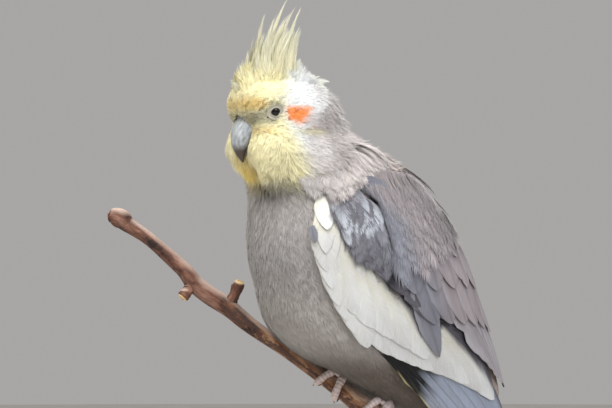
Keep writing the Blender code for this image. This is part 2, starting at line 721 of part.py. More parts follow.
def closed_ring(name, sections):
    """A ring-shaped solid through sections that follow one another all the way round."""
    sections = np.asarray(sections, float)
    count, around = sections.shape[:2]
    faces = []
    for row in range(count):
        for step in range(around):
            low, high = row * around, (row + 1) % count * around
            after = (step + 1) % around
            faces.append((low + step, low + after, high + after))
            faces.append((low + step, high + after, high + step))
    return add_solid(name, sections.reshape(-1, 3), faces)


def beak_line(stations):
    """The middle line of a half of the beak, from its stations."""
    return np.array([head_place(0, forward, up) for forward, up, _, _ in stations])


def beak_half(name, stations, margin=0.0):
    """A hooked half of the beak, or the shape of its socket with a margin."""
    line = beak_line(stations)
    sizes = np.array([station[2:] for station in stations])
    fine = smooth_line(line, BEAK_STEPS)
    steps = np.linspace(0, 1, len(line))
    places = np.linspace(0, 1, BEAK_STEPS)
    widths = smooth_interp(places, steps, sizes[:, 0])
    heights = smooth_interp(places, steps, sizes[:, 1])
    return sweep(name, fine, widths, heights, head_axes()[0], sides=BEAK_SIDES, margin=margin)


def head_surface(forward, up, side):
    """The point of the head's side at a place forward and up, and its outward direction."""
    start = head_place(0.0, forward, up)
    way = side * head_axes()[0]
    reach = surface_reach(start[None], way[None], flesh_distance)[0]
    point = start + way * reach
    steps = np.eye(3) * 0.5
    slope = np.array([flesh_distance(point + step) - flesh_distance(point - step)
                      for step in steps])
    return point, slope / np.linalg.norm(slope)


def eye_centre(side):
    """The middle of an eyeball, sunk in the side of the head."""
    point, out = head_surface(*EYE_PLACE, side)
    return point - out * (EYE_RADIUS - EYE_PROUD)


def crown_place(side, forward, lift):
    """A point above the crown of the head."""
    start = head_place(side, forward, 0.0)
    reach = surface_reach(start[None], np.array([[0.0, 0.0, 1.0]]), flesh_distance)[0]
    return start + np.array([0.0, 0.0, reach + lift])


def ball(name, centre, radius, rings=7):
    """A round ball."""
    mesh = bpy.data.meshes.new(name)
    shell = bmesh.new()
    place = (np.asarray(centre) + ORIGIN_SHIFT) * MM
    bmesh.ops.create_uvsphere(shell, u_segments=2 * rings, v_segments=rings, radius=radius * MM)
    bmesh.ops.translate(shell, verts=shell.verts, vec=place)
    shell.to_mesh(mesh)
    shell.free()
    made = bpy.data.objects.new(name, mesh)
    bpy.context.scene.collection.objects.link(made)
    return made


def branch_place(along, height):
    """A point of the branch from its place along the picture plane and its height."""
    depth = BRANCH_DEPTH + BRANCH_TURN * along
    return np.array([
        math.cos(VIEW_AZIMUTH) * along + math.sin(VIEW_AZIMUTH) * depth,
        math.sin(VIEW_AZIMUTH) * along - math.cos(VIEW_AZIMUTH) * depth,
        height,
    ])


def branch_line(count):
    """The branch's middle line and its radii, from the knob down to the cut end."""
    coarse = np.array([branch_place(along, height) for along, height, _ in BRANCH_STATIONS])
    radii = np.array([radius for _, _, radius in BRANCH_STATIONS])
    line = smooth_line(coarse, count)
    steps = np.arange(len(radii), dtype=float)
    return line, smooth_interp(np.linspace(0, len(radii) - 1, count), steps, radii)


def branch_frame(along):
    """The branch's middle, direction, side towards the bird's front, and radius at a place."""
    line, radii = branch_line(121)
    places = np.array([point[:2] @ (math.cos(VIEW_AZIMUTH), math.sin(VIEW_AZIMUTH))
                       for point in line])
    middle = np.array([np.interp(along, places, line[:, axis]) for axis in range(3)])
    ahead = np.array([np.interp(along + 1, places, line[:, axis]) for axis in range(3)])
    way = (ahead - middle) / np.linalg.norm(ahead - middle)
    front = np.cross(way, [0, 0, 1.0])
    front /= np.linalg.norm(front)
    up = np.cross(front, way)
    return middle, way, front, up, float(np.interp(along, places, radii))


def toe_line(along, turn, spread, reach, lift):
    """A toe's middle line, from over the branch round its side; turn is +1 for the front."""
    middle, way, front, up, radius = branch_frame(along)
    angles = np.radians(np.linspace(TOE_START, reach, TOE_STEPS))
    shares = np.linspace(0, 1, TOE_STEPS)
    height = radius + GAP + lift + HAIR
    line = []
    for angle, share in zip(angles, shares):
        out = math.sin(angle) * turn * front + math.cos(angle) * up
        line.append(middle + out * height + way * spread * share)
    return np.array(line)


def foot(name, side, along):
    """A gripping foot: two toes forward and two back, each with its claw, and the shank."""
    _, way, front, _, _ = branch_frame(along)
    pieces = []
    for turn, spread, reach, thick in TOES:
        line = toe_line(along + spread * TOE_ROOT_SHARE, turn, spread, reach, thick)
        sizes = np.interp(np.linspace(0, 1, TOE_STEPS), (0, 0.75, 0.8, 1), (thick, thick * 0.8, 0.75, 0.2))
        pieces.append(sweep("toe", line, sizes, sizes, way, sides=TOE_SIDES))
    pad, ankle, _, _ = shank_line(side, along)
    sole = pad + np.outer((-1, -0.5, 0, 0.5, 1), front) * PAD_LENGTH
    sizes = np.array((0.6, 0.9, 1.0, 0.9, 0.6))
    pieces.append(sweep("sole", sole, PAD_WIDTH * sizes, PAD_THICK * sizes, way, sides=10))
    shank = np.linspace(pad, ankle, 4)
    sizes = np.full(4, SHANK_RADIUS)
    pieces.insert(0, sweep(name, shank, sizes, sizes, (0.0, 1.0, 0.0), sides=10))
    return join(name, pieces)


def shank_line(side, along):
    """The sole's middle over the branch, and the ankle on the straight way up to the hip."""
    middle, _, _, up, radius = branch_frame(along)
    pad = middle + up * (radius + GAP + PAD_THICK + HAIR)
    hip = np.array([side * HIP_PLACE[0], HIP_PLACE[1], HIP_PLACE[2]])
    way = (hip - pad) / np.linalg.norm(hip - pad)
    return pad, pad + way * SHANK_LENGTH, hip, way


def leg(name, side, along, margin=0.0):
    """The feathered leg from the belly to the shank, or its socket with a margin."""
    _, ankle, hip, way = shank_line(side, along)
    line = np.linspace(hip, ankle + way * GAP, LEG_STEPS)
    places = np.linspace(0, 1, LEG_STEPS)
    sizes = smooth_interp(places, np.linspace(0, 1, len(LEG_SIZES)), np.array(LEG_SIZES))
    return sweep(name, line, sizes, sizes, (0.0, 1.0, 0.0), 14, margin, SOCKET_DEPTH)


def branch(name, margin=0.0, foot_room=0.0):
    """The branch, or its clearance in the belly with a margin and more room for the feet."""
    line, radii = branch_line(BRANCH_STEPS)
    sizes = radii + margin
    if foot_room:
        places = line[:, :2] @ (math.cos(VIEW_AZIMUTH), math.sin(VIEW_AZIMUTH))
        for along in FOOT_PLACES.values():
            sizes = sizes + foot_room * np.exp(-((places - along) / FOOT_ROOM_LENGTH) ** 4)
    return sweep(name, line, sizes, sizes, (0.0, 0.0, 1.0), sides=BRANCH_SIDES)


def stub(name, along, way, length, radius):
    """A cut side twig."""
    middle, _, _, _, _ = branch_frame(along)
    picture = np.array([way[0] * math.cos(VIEW_AZIMUTH), way[0] * math.sin(VIEW_AZIMUTH), way[1]])
    depth = np.array([math.sin(VIEW_AZIMUTH), -math.cos(VIEW_AZIMUTH), 0.0]) * way[2]
    line = middle + np.outer(np.linspace(0, length, 5), picture + depth)
    sizes = radius * np.array((1.25, 1.1, 1.0, 0.97, 1.02))
    return sweep(name, line, sizes, sizes, (0.3, 0.2, 0.9), sides=12)


def disc(name, centre, radius, low, high, segments, bevel=0.0):
    """A round upright solid with level ends."""
    mesh = bpy.data.meshes.new(name)
    shell = bmesh.new()
    bmesh.ops.create_cone(shell, cap_ends=True, segments=segments, radius1=radius * MM,
                          radius2=radius * MM, depth=(high - low) * MM)
    place = (np.array([centre[0], centre[1], (low + high) / 2]) + ORIGIN_SHIFT) * MM
    bmesh.ops.translate(shell, verts=shell.verts, vec=place)
    shell.to_mesh(mesh)
    shell.free()
    made = bpy.data.objects.new(name, mesh)
    bpy.context.scene.collection.objects.link(made)
    if bevel:
        rounded = made.modifiers.new("bevel", "BEVEL")
        rounded.width = bevel * MM
        rounded.segments = 1
        rounded.limit_method = "ANGLE"
    return made


def flesh_rings(lift=0.0):
    """The rings of points round the whole body, lifted off it."""
    starts, ways = ray_grid()
    return starts + ways * surface_reach(starts, ways, flesh_distance, lift)[..., None]


def body_form(name, lift):
    """The whole feathered body as one closed form, for cutting what lies on it."""
    rings = flesh_rings(lift)
    return loft(name, rings[1:-1], foot=rings[0].mean(axis=0), tip=rings[-1].mean(axis=0))


def build_flesh():
    """The torso, neck and head, parted by thin cuts across the spine."""
    rings = flesh_rings()
    joints = (CAP_RINGS + NECK_RING, CAP_RINGS + HEAD_RING)
    parted = []
    for cut in joints:
        place = (cut - CAP_RINGS) / (BODY_RINGS - 1)
        _, along, _ = spine_frame(place)
        parted.append((rings[cut] - along * GAP / 2, rings[cut] + along * GAP / 2))
    torso = loft("torso", [*rings[1:joints[0]], parted[0][0]], foot=rings[0].mean(axis=0))
    neck = loft("neck", [parted[0][1], *rings[joints[0] + 1:joints[1]], parted[1][0]])
    head = loft("head", [parted[1][1], *rings[joints[1] + 1:-1]], tip=rings[-1].mean(axis=0))
    return torso, neck, head


def main():
    clear_scene()
    grey = paint("grey_feathers", (0.36, 0.33, 0.32), 0.9)
    yellow = paint("yellow_feathers", (0.80, 0.70, 0.32), 0.9)
    horn = paint("beak_horn", (0.36, 0.38, 0.40), 0.4)
    bark = paint("bark", (0.30, 0.13, 0.07), 0.8)
    torso, neck, head = build_flesh()

    room = branch("branch_room", margin=GAP + HAIR, foot_room=FOOT_ROOM)
    sockets = [leg("socket", side, FOOT_PLACES[name], margin=GAP)
               for name, side in (("left", 1), ("right", -1))]
    carve(torso, [room, *sockets, tail_sweep("socket", margin=GAP)])
    eyes = {name: ball("eye_" + name, eye_centre(side), EYE_RADIUS)
            for name, side in (("left", 1), ("right", -1))}
    eye_rooms = [ball("room", eye_centre(side), EYE_RADIUS + GAP) for side in (1, -1)]
    head = join("head", [head, lids("lids", 1), lids("lids", -1)])
    carve(head, [beak_half("socket", CHIN_NOTCH), beak_half("socket", LOWER_BEAK, GAP),
                 beak_half("socket", UPPER_BEAK, GAP), *eye_rooms])
    for body in (torso, neck, head):
        finish(body, grey)
    finish(head, yellow)
    pits = [ball("pit", head_place(side * NOSTRIL[0], *NOSTRIL[1:]), NOSTRIL_RADIUS, 6)
            for side in (1, -1)]
    finish(carve(beak_half("beak_upper", UPPER_BEAK), pits), horn)
    finish(beak_half("beak_lower", LOWER_BEAK), horn)
    eye_black = paint("eye", (0.01, 0.008, 0.006), 0.05)
    for eye in eyes.values():
        finish(eye, eye_black)
    finish(crest("crest"), yellow)
    for name, hand in (("left", 1), ("right", -1)):
        finish(wing("wing_" + name, hand), grey)
        along = FOOT_PLACES[name]
        finish(leg("leg_" + name, hand, along), grey)
        finish(foot("foot_" + name, hand, along), horn)
    finish(tail("tail"), grey)

    perch = join("perch", [branch("perch"), *[stub("stub", *sizes) for sizes in STUBS]])
    rod_x, rod_y, rod_top = branch_frame(ROD_PLACE)[0]
    rod_top -= ROD_SUNK
    carve(perch, [disc("room", (rod_x, rod_y), ROD_RADIUS + GAP, rod_top - 12, rod_top + GAP, 24)])
    finish(perch, bark)
    base_low = -FLOOR_DROP
    base_high = base_low + BASE_HEIGHT
    rod_low = base_high - ROD_SOCKET
    finish(disc("stand_rod", (rod_x, rod_y), ROD_RADIUS, rod_low, rod_top, 24),
           paint("rod_steel", (0.5, 0.5, 0.5), 0.3, 1.0))
    base = disc("stand_base", BASE_CENTRE, BASE_RADIUS, base_low, base_high, 48, BASE_BEVEL)
    carve(base, [disc("room", (rod_x, rod_y), ROD_RADIUS + GAP, rod_low - GAP, base_high + 4, 24)])
    finish(base, paint("base_wood", (0.05, 0.03, 0.02), 0.4))


main()
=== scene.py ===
"""The looks of the cockatiel: plumage, bill, eyes, feet, branch and display stand.

Sizes are in millimetres in the bird's own frame, where the bird faces -Y, its left side is +X
and (0, 0, 0) lies by the branch at the right foot. place() turns them into the scene's metres.
"""

import math

import bmesh
import bpy
import numpy as np
from mathutils import Matrix, Vector


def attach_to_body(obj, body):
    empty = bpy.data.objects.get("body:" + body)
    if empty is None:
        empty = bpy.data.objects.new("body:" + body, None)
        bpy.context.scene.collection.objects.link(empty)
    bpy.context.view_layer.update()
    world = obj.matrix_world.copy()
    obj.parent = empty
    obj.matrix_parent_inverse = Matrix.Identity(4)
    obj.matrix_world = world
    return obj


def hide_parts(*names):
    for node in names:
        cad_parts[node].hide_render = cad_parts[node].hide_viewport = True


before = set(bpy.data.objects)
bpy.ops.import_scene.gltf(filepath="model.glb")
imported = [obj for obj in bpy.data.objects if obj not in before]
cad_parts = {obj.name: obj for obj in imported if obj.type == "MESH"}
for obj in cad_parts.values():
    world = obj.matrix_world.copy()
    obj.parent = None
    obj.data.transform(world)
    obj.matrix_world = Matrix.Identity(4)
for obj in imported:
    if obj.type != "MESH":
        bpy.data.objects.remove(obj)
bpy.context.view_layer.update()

MM = 0.001
GAP = 0.3
FLOOR_DROP = 170.0
ORIGIN_SHIFT = np.array([0.0, -14.0, FLOOR_DROP])
RNG = np.random.default_rng(20)
FULL_TURN = 2 * math.pi
SIDE = np.array([1.0, 0.0, 0.0])
UP = np.array([0.0, 0.0, 1.0])

# Each lobe of flesh: centre, half sizes across, deep and long, and the pitch of its long side.
BODY_LOBES = (
    ((0, 6, 38), (26.5, 33, 54), 58),
    ((0, -2.4, 50), (26, 28.5, 30), 72),
    ((0, 11, 61), (22, 20, 26), 52),
    ((0, 37, 8), (15, 15, 28), 60),
    ((0, -0.6, 26), (24, 25.5, 27), 50),
    ((0, -11, 75), (20.5, 19, 19), 60),
)
# The head's lobes are given in its own frame: side, forward and up.
HEAD_LOBES = (
    ((0, -1.8, 1.2), (16.8, 20, 13.0)),
    ((0, 10.0, 5.5), (12.0, 11.5, 8.5)),
    ((7.0, 4.0, -10.0), (11.0, 14.5, 11.5)),
    ((-7.0, 4.0, -10.0), (11.0, 14.5, 11.5)),
)
HEAD_CENTRE = np.array([0.0, -23.0, 96.0])
HEAD_YAW = math.radians(8.0)
BODY_BLEND = 9.0
HEAD_BLEND = 4.0
NECK_BLEND = 7.0
BELLY_POINT = np.array([0.0, -5.6, 7.7])
BELLY_SLOPE = math.radians(31.0)
BELLY_BLEND = 7.0
SLOPE_STEP = 0.4
HALVINGS = 22
SPINE = np.array([(39, 5), (24, 21), (10, 41), (-2, 60), (-13, 78), (-23, 96)], float)
SPINE_POINTS = 241
CAP_SHARE = 0.2

WING_TOP = np.array([0.0, -9.3, 75.0])
WING_PITCH = math.radians(62.0)
WING_STATIONS = np.array([0, 15, 28, 47, 66, 98, 130, 172], float)
WING_WIDTH = np.array([24, 27.5, 29.5, 30, 27.5, 19.5, 13.5, 8.5])
WING_DEPTH = np.array([28, 32.5, 36, 37.5, 35.5, 31.5, 22.5, 10.5])
WING_MIDDLE = 0.4
WING_REACH = 24.0
WING_ABOVE = 8.0
WING_THINNEST = 1.3
WING_SUNK = 0.8
WING_EDGE_STATIONS = np.array([0, 12, 26, 42, 56, 69, 90, 120, 172], float)
WING_DORSAL_EDGE = np.array([70, 44, 34, 26, 17, 10, 3, 1, 1], float)
WING_FRONT_EDGE = np.array([112, 128, 131, 133, 127, 117, 104, 66, 36], float)

EYE_PLACE = (12.6, 2.8)

VIEW_AZIMUTH = math.radians(63.0)
VIEW_RIGHT = np.array([math.cos(VIEW_AZIMUTH), math.sin(VIEW_AZIMUTH), 0.0])
VIEW_NEAR = np.array([math.sin(VIEW_AZIMUTH), -math.cos(VIEW_AZIMUTH), 0.0])


def place(points):
    """Points of the bird's frame in the scene's metres."""
    return (np.asarray(points, float) + ORIGIN_SHIFT) * MM


def unit(vectors):
    """Vectors at length one."""
    return vectors / np.maximum(np.linalg.norm(vectors, axis=-1, keepdims=True), 1e-9)


def square_to(vectors, ways):
    """Vectors of length one at a right angle to ways of length one."""
    return unit(vectors - ways * np.sum(vectors * ways, axis=-1, keepdims=True))


def smooth_step(value, low, high):
    """A soft step from 0 at low to 1 at high."""
    share = np.clip((value - low) / (high - low), 0.0, 1.0)
    return share * share * (3 - 2 * share)


def smooth_interp(value, stations, sizes):
    """A smooth curve through sizes at stations."""
    value = np.asarray(value, float)
    slopes = np.gradient(sizes, stations)
    index = np.clip(np.searchsorted(stations, value) - 1, 0, len(stations) - 2)
    span = stations[index + 1] - stations[index]
    u = np.clip((value - stations[index]) / span, 0.0, 1.0)
    return ((1 + 2 * u) * (1 - u) ** 2 * sizes[index] + u * (1 - u) ** 2 * span * slopes[index]
            + u ** 2 * (3 - 2 * u) * sizes[index + 1] + u ** 2 * (u - 1) * span * slopes[index + 1])


def smooth_line(rows, count):
    """Rows of numbers evenly set on smooth curves through the given rows."""
    rows = np.asarray(rows, float)
    places = np.linspace(0, len(rows) - 1, count)
    return np.array([smooth_interp(places, np.arange(len(rows), dtype=float), column) for column in rows.T]).T


def on_line(shares, rows):
    """Rows of numbers at shares of the way along straight lines between the given rows."""
    rows = np.asarray(rows, float)
    spread = np.linspace(0, 1, len(rows))
    return np.stack([np.interp(shares, spread, column) for column in rows.T], axis=-1)


# The body's form

def pitched_axes(pitch):
    """Rows: across, deep and long axes of a form leaning forward at the pitch."""
    return np.array([SIDE, (0.0, math.sin(pitch), math.cos(pitch)), (0.0, -math.cos(pitch), math.sin(pitch))])


_, WING_BACK, WING_UP = pitched_axes(WING_PITCH)
# Rows: side, forward and up of the turned head.
HEAD_AXES = np.array([(math.cos(HEAD_YAW), math.sin(HEAD_YAW), 0.0),
                      (math.sin(HEAD_YAW), -math.cos(HEAD_YAW), 0.0), UP])


def head_place(side, forward, up):
    """Points given in the head's own frame."""
    side, forward, up = np.broadcast_arrays(*(np.asarray(v, float) for v in (side, forward, up)))
    return HEAD_CENTRE + np.stack([side, forward, up], axis=-1) @ HEAD_AXES


def in_head(points):
    """Side, forward and up of points in the head's frame."""
    local = (points - HEAD_CENTRE) @ HEAD_AXES.T
    return local[..., 0], local[..., 1], local[..., 2]


def blend_near(first, second, width):
    """The smaller of two distances, rounded where they meet."""
    share = np.clip(0.5 + 0.5 * (second - first) / width, 0.0, 1.0)
    return second * (1 - share) + first * share - width * share * (1 - share)


def lobes_distance(points, lobes, width):
    """About how far points are outside oval lobes that run into one another."""
    nearest = None
    for centre, sizes, axes in lobes:
        local = (points - np.asarray(centre, float)) @ axes.T
        sizes = np.asarray(sizes, float)
        reach = np.linalg.norm(local / sizes, axis=-1)
        slope = np.linalg.norm(local / sizes ** 2, axis=-1)
        lobe = reach * (reach - 1.0) / np.maximum(slope, 1e-6)
        nearest = lobe if nearest is None else blend_near(nearest, lobe, width)
    return nearest


BODY_FORM = [(centre, sizes, pitched_axes(math.radians(pitch))) for centre, sizes, pitch in BODY_LOBES]
HEAD_FORM = [(head_place(*centre), sizes, HEAD_AXES) for centre, sizes in HEAD_LOBES]
BELLY_WAY = np.array([0.0, -math.sin(BELLY_SLOPE), -math.cos(BELLY_SLOPE)])


def flesh_distance(points):
    """About how far points are outside the feathered body."""
    body = lobes_distance(points, BODY_FORM, BODY_BLEND)
    body = -blend_near(-body, -((points - BELLY_POINT) @ BELLY_WAY), BELLY_BLEND)
    return blend_near(body, lobes_distance(points, HEAD_FORM, HEAD_BLEND), NECK_BLEND)


def outward(points):
    """The direction away from the body at points."""
    slope = [flesh_distance(points + step) - flesh_distance(points - step) for step in np.eye(3) * SLOPE_STEP]
    return unit(np.stack(slope, axis=-1))


def settle(points, lift, turns=3):
    """Moves points onto the surface that lies at a lift over the body."""
    for _ in range(turns):
        points = points - outward(points) * (flesh_distance(points) - lift)[..., None]
    return points


def surface_reach(starts, ways, lift=0.0, longest=90.0):
    """How far along each ray the surface lies, found by halving."""
    low = np.zeros(starts.shape[:-1])
    high = np.full(starts.shape[:-1], longest)
    for _ in range(HALVINGS):
        middle = (low + high) / 2
        inside = flesh_distance(starts + ways * middle[..., None]) < lift
        low = np.where(inside, middle, low)
        high = np.where(inside, high, middle)
    return low


def body_point(rows, turns, lift):
    """Points at a lift over the body and the spine's direction there.

    rows go from 0 at the rump to 1 at the crown, and turns go round the spine from the back.
    """
    line = smooth_line(np.column_stack([np.zeros(len(SPINE)), SPINE]), SPINE_POINTS)
    spot = np.clip((rows - CAP_SHARE) / (1 - 2 * CAP_SHARE), 0, 1)
    lean = math.pi / 2 * (np.clip((rows - 1 + CAP_SHARE) / CAP_SHARE, 0, 1)
                          - np.clip(1 - rows / CAP_SHARE, 0, 1))
    start = on_line(spot, line)
    along = unit(on_line(spot, unit(np.gradient(line, axis=0))))
    dorsal = -np.cross(SIDE, along)
    dorsal *= np.where(dorsal[..., 1:2] < 0, -1.0, 1.0)
    around = np.sin(turns)[..., None] * SIDE + np.cos(turns)[..., None] * dorsal
    way = np.cos(lean)[..., None] * around + np.sin(lean)[..., None] * along
    return start + way * surface_reach(start, way, lift)[..., None], along


# The folded wings lie on one smooth form over the back: t is the way down it in millimetres,
# and phi the way round it in degrees from the mid-back.

def wing_form(t):
    """The form's centre and its half width and depth."""
    return (WING_TOP - np.multiply.outer(t, WING_UP), smooth_interp(t, WING_STATIONS, WING_WIDTH),
            smooth_interp(t, WING_STATIONS, WING_DEPTH))


def wing_point(t, phi, lift, hand=1):
    """A point at a lift over the wings' form, on the left for hand 1 and the right for -1."""
    t, phi, lift = np.broadcast_arrays(*(np.asarray(v, float) for v in (t, phi, lift)))
    centre, width, depth = wing_form(t)
    turn = np.radians(phi)
    out_side = ((width + lift) * np.sin(turn))[..., None] * SIDE
    out_back = ((depth + lift) * np.cos(turn))[..., None] * WING_BACK
    point = centre + out_side + out_back
    point[..., 0] = np.maximum(point[..., 0], WING_MIDDLE)
    return point * np.array([hand, 1.0, 1.0])


def wing_normal(t, phi, hand):
    """The direction away from the wings' form."""
    return unit(wing_point(t, phi, 4.0, hand) - wing_point(t, phi, 0.0, hand))


def wing_chart(points):
    """The t and phi of points near the folded wings."""
    t = (WING_TOP - points) @ WING_UP
    centre, width, depth = wing_form(t)
    back = (points - centre) @ WING_BACK
    return t, np.degrees(np.arctan2(np.abs(points[..., 0]) / width, back / depth))


def wing_outer(t, phi):
    """The lift of the wing's core over the wings' form, where the body swells under it."""
    low = wing_point(t, phi, -WING_REACH)
    high = wing_point(t, phi, WING_ABOVE)
    far = np.linalg.norm(high - low, axis=-1)
    found = surface_reach(low, unit(high - low), longest=WING_REACH + WING_ABOVE)
    rest = np.minimum(found, far) - WING_REACH
    return np.maximum(-WING_SUNK, rest + GAP + WING_THINNEST)


def wing_edges(t):
    """The dorsal and the front edge of the folded wing, as phi."""
    return (smooth_interp(t, WING_EDGE_STATIONS, WING_DORSAL_EDGE),
            smooth_interp(t, WING_EDGE_STATIONS, WING_FRONT_EDGE))


# Plumage colours

def linear(hex_colour):
    """An sRGB hex colour as linear values."""
    values = np.array([int(hex_colour[step:step + 2], 16) / 255 for step in (1, 3, 5)])
    return np.where(values <= 0.04045, values / 12.92, ((values + 0.055) / 1.055) ** 2.4)


PLUMAGE = {name: linear(colour) for name, colour in {
    "grey": "#A19F9F",
    "belly": "#ABA7A4",
    # The underside's colour is painted shade, darker where the body hangs over the branch.
    "under": "#665E57",
    "mantle": "#A0928B",
    "lavender": "#CDC6C4",
    # A dark olive used only as painted shade: under the cheeks, over the eye and at the bill's root.
    "olive": "#86836C",
    "white": "#E5E9EA",
    "yellow": "#F2ECC2",
    "gold": "#EBC55F",
    "orange": "#FF9132",
    "lore": "#C6C5AE",
    # Painted shade for the crease along the cheek's upper edge.
    "crease": "#B9B37C",
    "covert": "#5C5A63",
    # A painted sheen: the pale bluish look of light on grey feathers, also laid on the vanes' paler edges.
    "sheen": "#BCC3CC",
    "scapular": "#7C7E89",
    "tertial": "#9E9BA1",
    "crest": "#CDCFBD",
    "chin": "#E8CD66",
    "brown": "#A0979A",
    "cream": "#EFEBC8",
    "flight": "#929CAE",
    "primary": "#0E1014",
    "edge": "#D8CFA0",
    "tail": "#5E5B60",
}.items()}
# Edges of the face's markings, in the head's frame: places and how far the marking goes there.
FACE_LOW_EDGE = ((-10, -6, 0, 6), (-9.0, -15.0, -20.0, -22.5))
FACE_BACK_EDGE = ((-16, -11, -6, -3.3, 1.5, 4, 7.3, 12), (-4.0, -6.2, -5.6, -2.6, -3.2, -6.5, -12.0, -15.0))
YELLOW_EDGE = ((-22, -16, -10, -3, 4, 9, 12, 16), (2.0, 3.5, 5.0, 8.0, 9.5, 7.5, 5.0, 2.0))
# Soft oval marks on the side of the face, two of them painted shade: colour, strength, forward and up, half
# sizes.
FACE_MARKS = (
    ("gold", 0.6, (18.4, 5.4), (3.8, 2.2)),
    # Painted shade in the crease along the cheek's upper edge, back from the gape.
    ("crease", 0.55, (-0.5, -4.2), (6.5, 1.2)),
    ("gold", 0.4, (15.5, -4.0), (3.5, 1.0)),
    ("lore", 0.75, (15.0, 1.2), (3.8, 2.7)),
    # Painted shade on the feathers at the bill's root, where the forehead overhangs the cere.
    ("olive", 0.55, (18.6, 0.2), (2.0, 2.2)),
)
MARK_SOFTNESS = 0.9


def mix(first, second, share):
    """Colours between two."""
    share = np.asarray(share)[..., None]
    return first * (1 - share) + second * share


def layered(colour, *layers):
    """Plumage colours laid one by one over a colour, each as its name and its share."""
    for name, share in layers:
        colour = mix(colour, PLUMAGE[name], share)
    return colour


def face_mark(forward, up, centre, sizes):
    """1 inside an oval mark on the side of the face and 0 outside it."""
    reach = np.hypot((forward - centre[0]) / sizes[0], (up - centre[1]) / sizes[1])
    return smooth_step(1 + MARK_SOFTNESS / 2 - reach, 0, MARK_SOFTNESS)


def plumage(points):
    """The colour of the body's feathers at points: the bird's own markings, with painted shade under the
    body, under the cheeks, in the crease over the cheek, over the eye and at the bill's root.
    """
    side, forward, up = in_head(points)
    height = points[..., 2]
    t, phi = wing_chart(points)
    # Painted shadow under the cheeks: the throat just beneath them is darkened olive.
    throat_shade = smooth_step(-17 - up, 0, 3) * smooth_step(up + 31, 0, 8) * smooth_step(forward, -8, 2)
    colour = layered(
        PLUMAGE["grey"],
        ("belly", smooth_step(45 - height, 0, 18)),
        # Painted shade: the feathers darken towards the bottom of the body.
        ("under", smooth_step(17 - height, 0, 13)),
        ("mantle", smooth_step(95 - phi, 0, 45) * smooth_step(t, -12, 8)),
        ("lavender", 0.25 * smooth_step(height, 40, 66)),
        ("lavender", 0.36 * smooth_step(height, 56, 84) * smooth_step(-forward, -6, 6)),
        ("olive", 0.75 * throat_shade))
    locks = (np.sin(0.8 * points[..., 0] + 1.7 * np.sin(0.31 * height))
             * np.sin(0.7 * points[..., 1] + 1.9 * np.sin(0.25 * height)))
    colour = colour * (1 + 0.09 * locks)[..., None]
    face = (smooth_step(up - np.interp(forward, *FACE_LOW_EDGE), -1.2, 1.2)
            * smooth_step(forward - np.interp(up, *FACE_BACK_EDGE), -2.2, 2.2))
    yellow = smooth_step(forward - np.interp(up, *YELLOW_EDGE), -3.0, 3.0)
    chin = smooth_step(7 - np.abs(side), 0, 3) * smooth_step(-13 - up, 0, 2) * smooth_step(forward, 4, 8)
    # A thin arc of painted shade lies over the eye, along the crease of the upper lid.
    lid_crease_shade = np.abs(np.hypot((forward - EYE_PLACE[0]) / 4.0, (up - EYE_PLACE[1]) / 3.3) - 1)
    # The orange patch is what lies inside four straight edges.
    inside = np.min([8.2 - forward, 4.6 - up, ((forward + 0.8) * 6.2 + (up - 4.2) * 4.9) / 7.9,
                     ((4.1 - forward) * 2.4 + (up + 2.0) * 4.2) / 4.8], axis=0)
    return layered(
        colour,
        ("white", face),
        ("lavender", 0.75 * smooth_step(5 - forward, 0, 5) * smooth_step(4 - up, 0, 4) * face),
        ("lavender", 0.4 * smooth_step(-2 - forward, 0, 5) * smooth_step(up, 2, 5) * face),
        ("yellow", yellow * face),
        ("chin", 0.8 * chin * face),
        *((name, strength * face_mark(forward, up, centre, sizes))
          for name, strength, centre, sizes in FACE_MARKS),
        # Painted shade in the crease over the eye.
        ("olive", 0.85 * smooth_step(up, 3.5, 5.5) * smooth_step(0.5 - lid_crease_shade, 0.25, 0.5)),
        ("orange", 0.92 * smooth_step(inside, -0.9, 1.0)))


# Materials

WHITE = "#FFFFFF"
# About how far apart a wave texture's bands lie at a scale of one.
WAVE_STEP = 0.3183
# Plain noise's detail, roughness and stretch.
PLAIN = (4.0, 0.55, (1, 1, 1))
# Nodes that a pattern or a colour is read from: the object's own places, the places round and
# along a piece, and the feather colours. The last two are written on the piece's points.
OBJECT_PLACES = ("TexCoord", {}, {}, "Object")
GRAIN_PLACES = ("Attribute", {"attribute_name": "grain"}, {}, "Vector")
MARKINGS = ("Attribute", {"attribute_name": "plumage"}, {}, "Color")


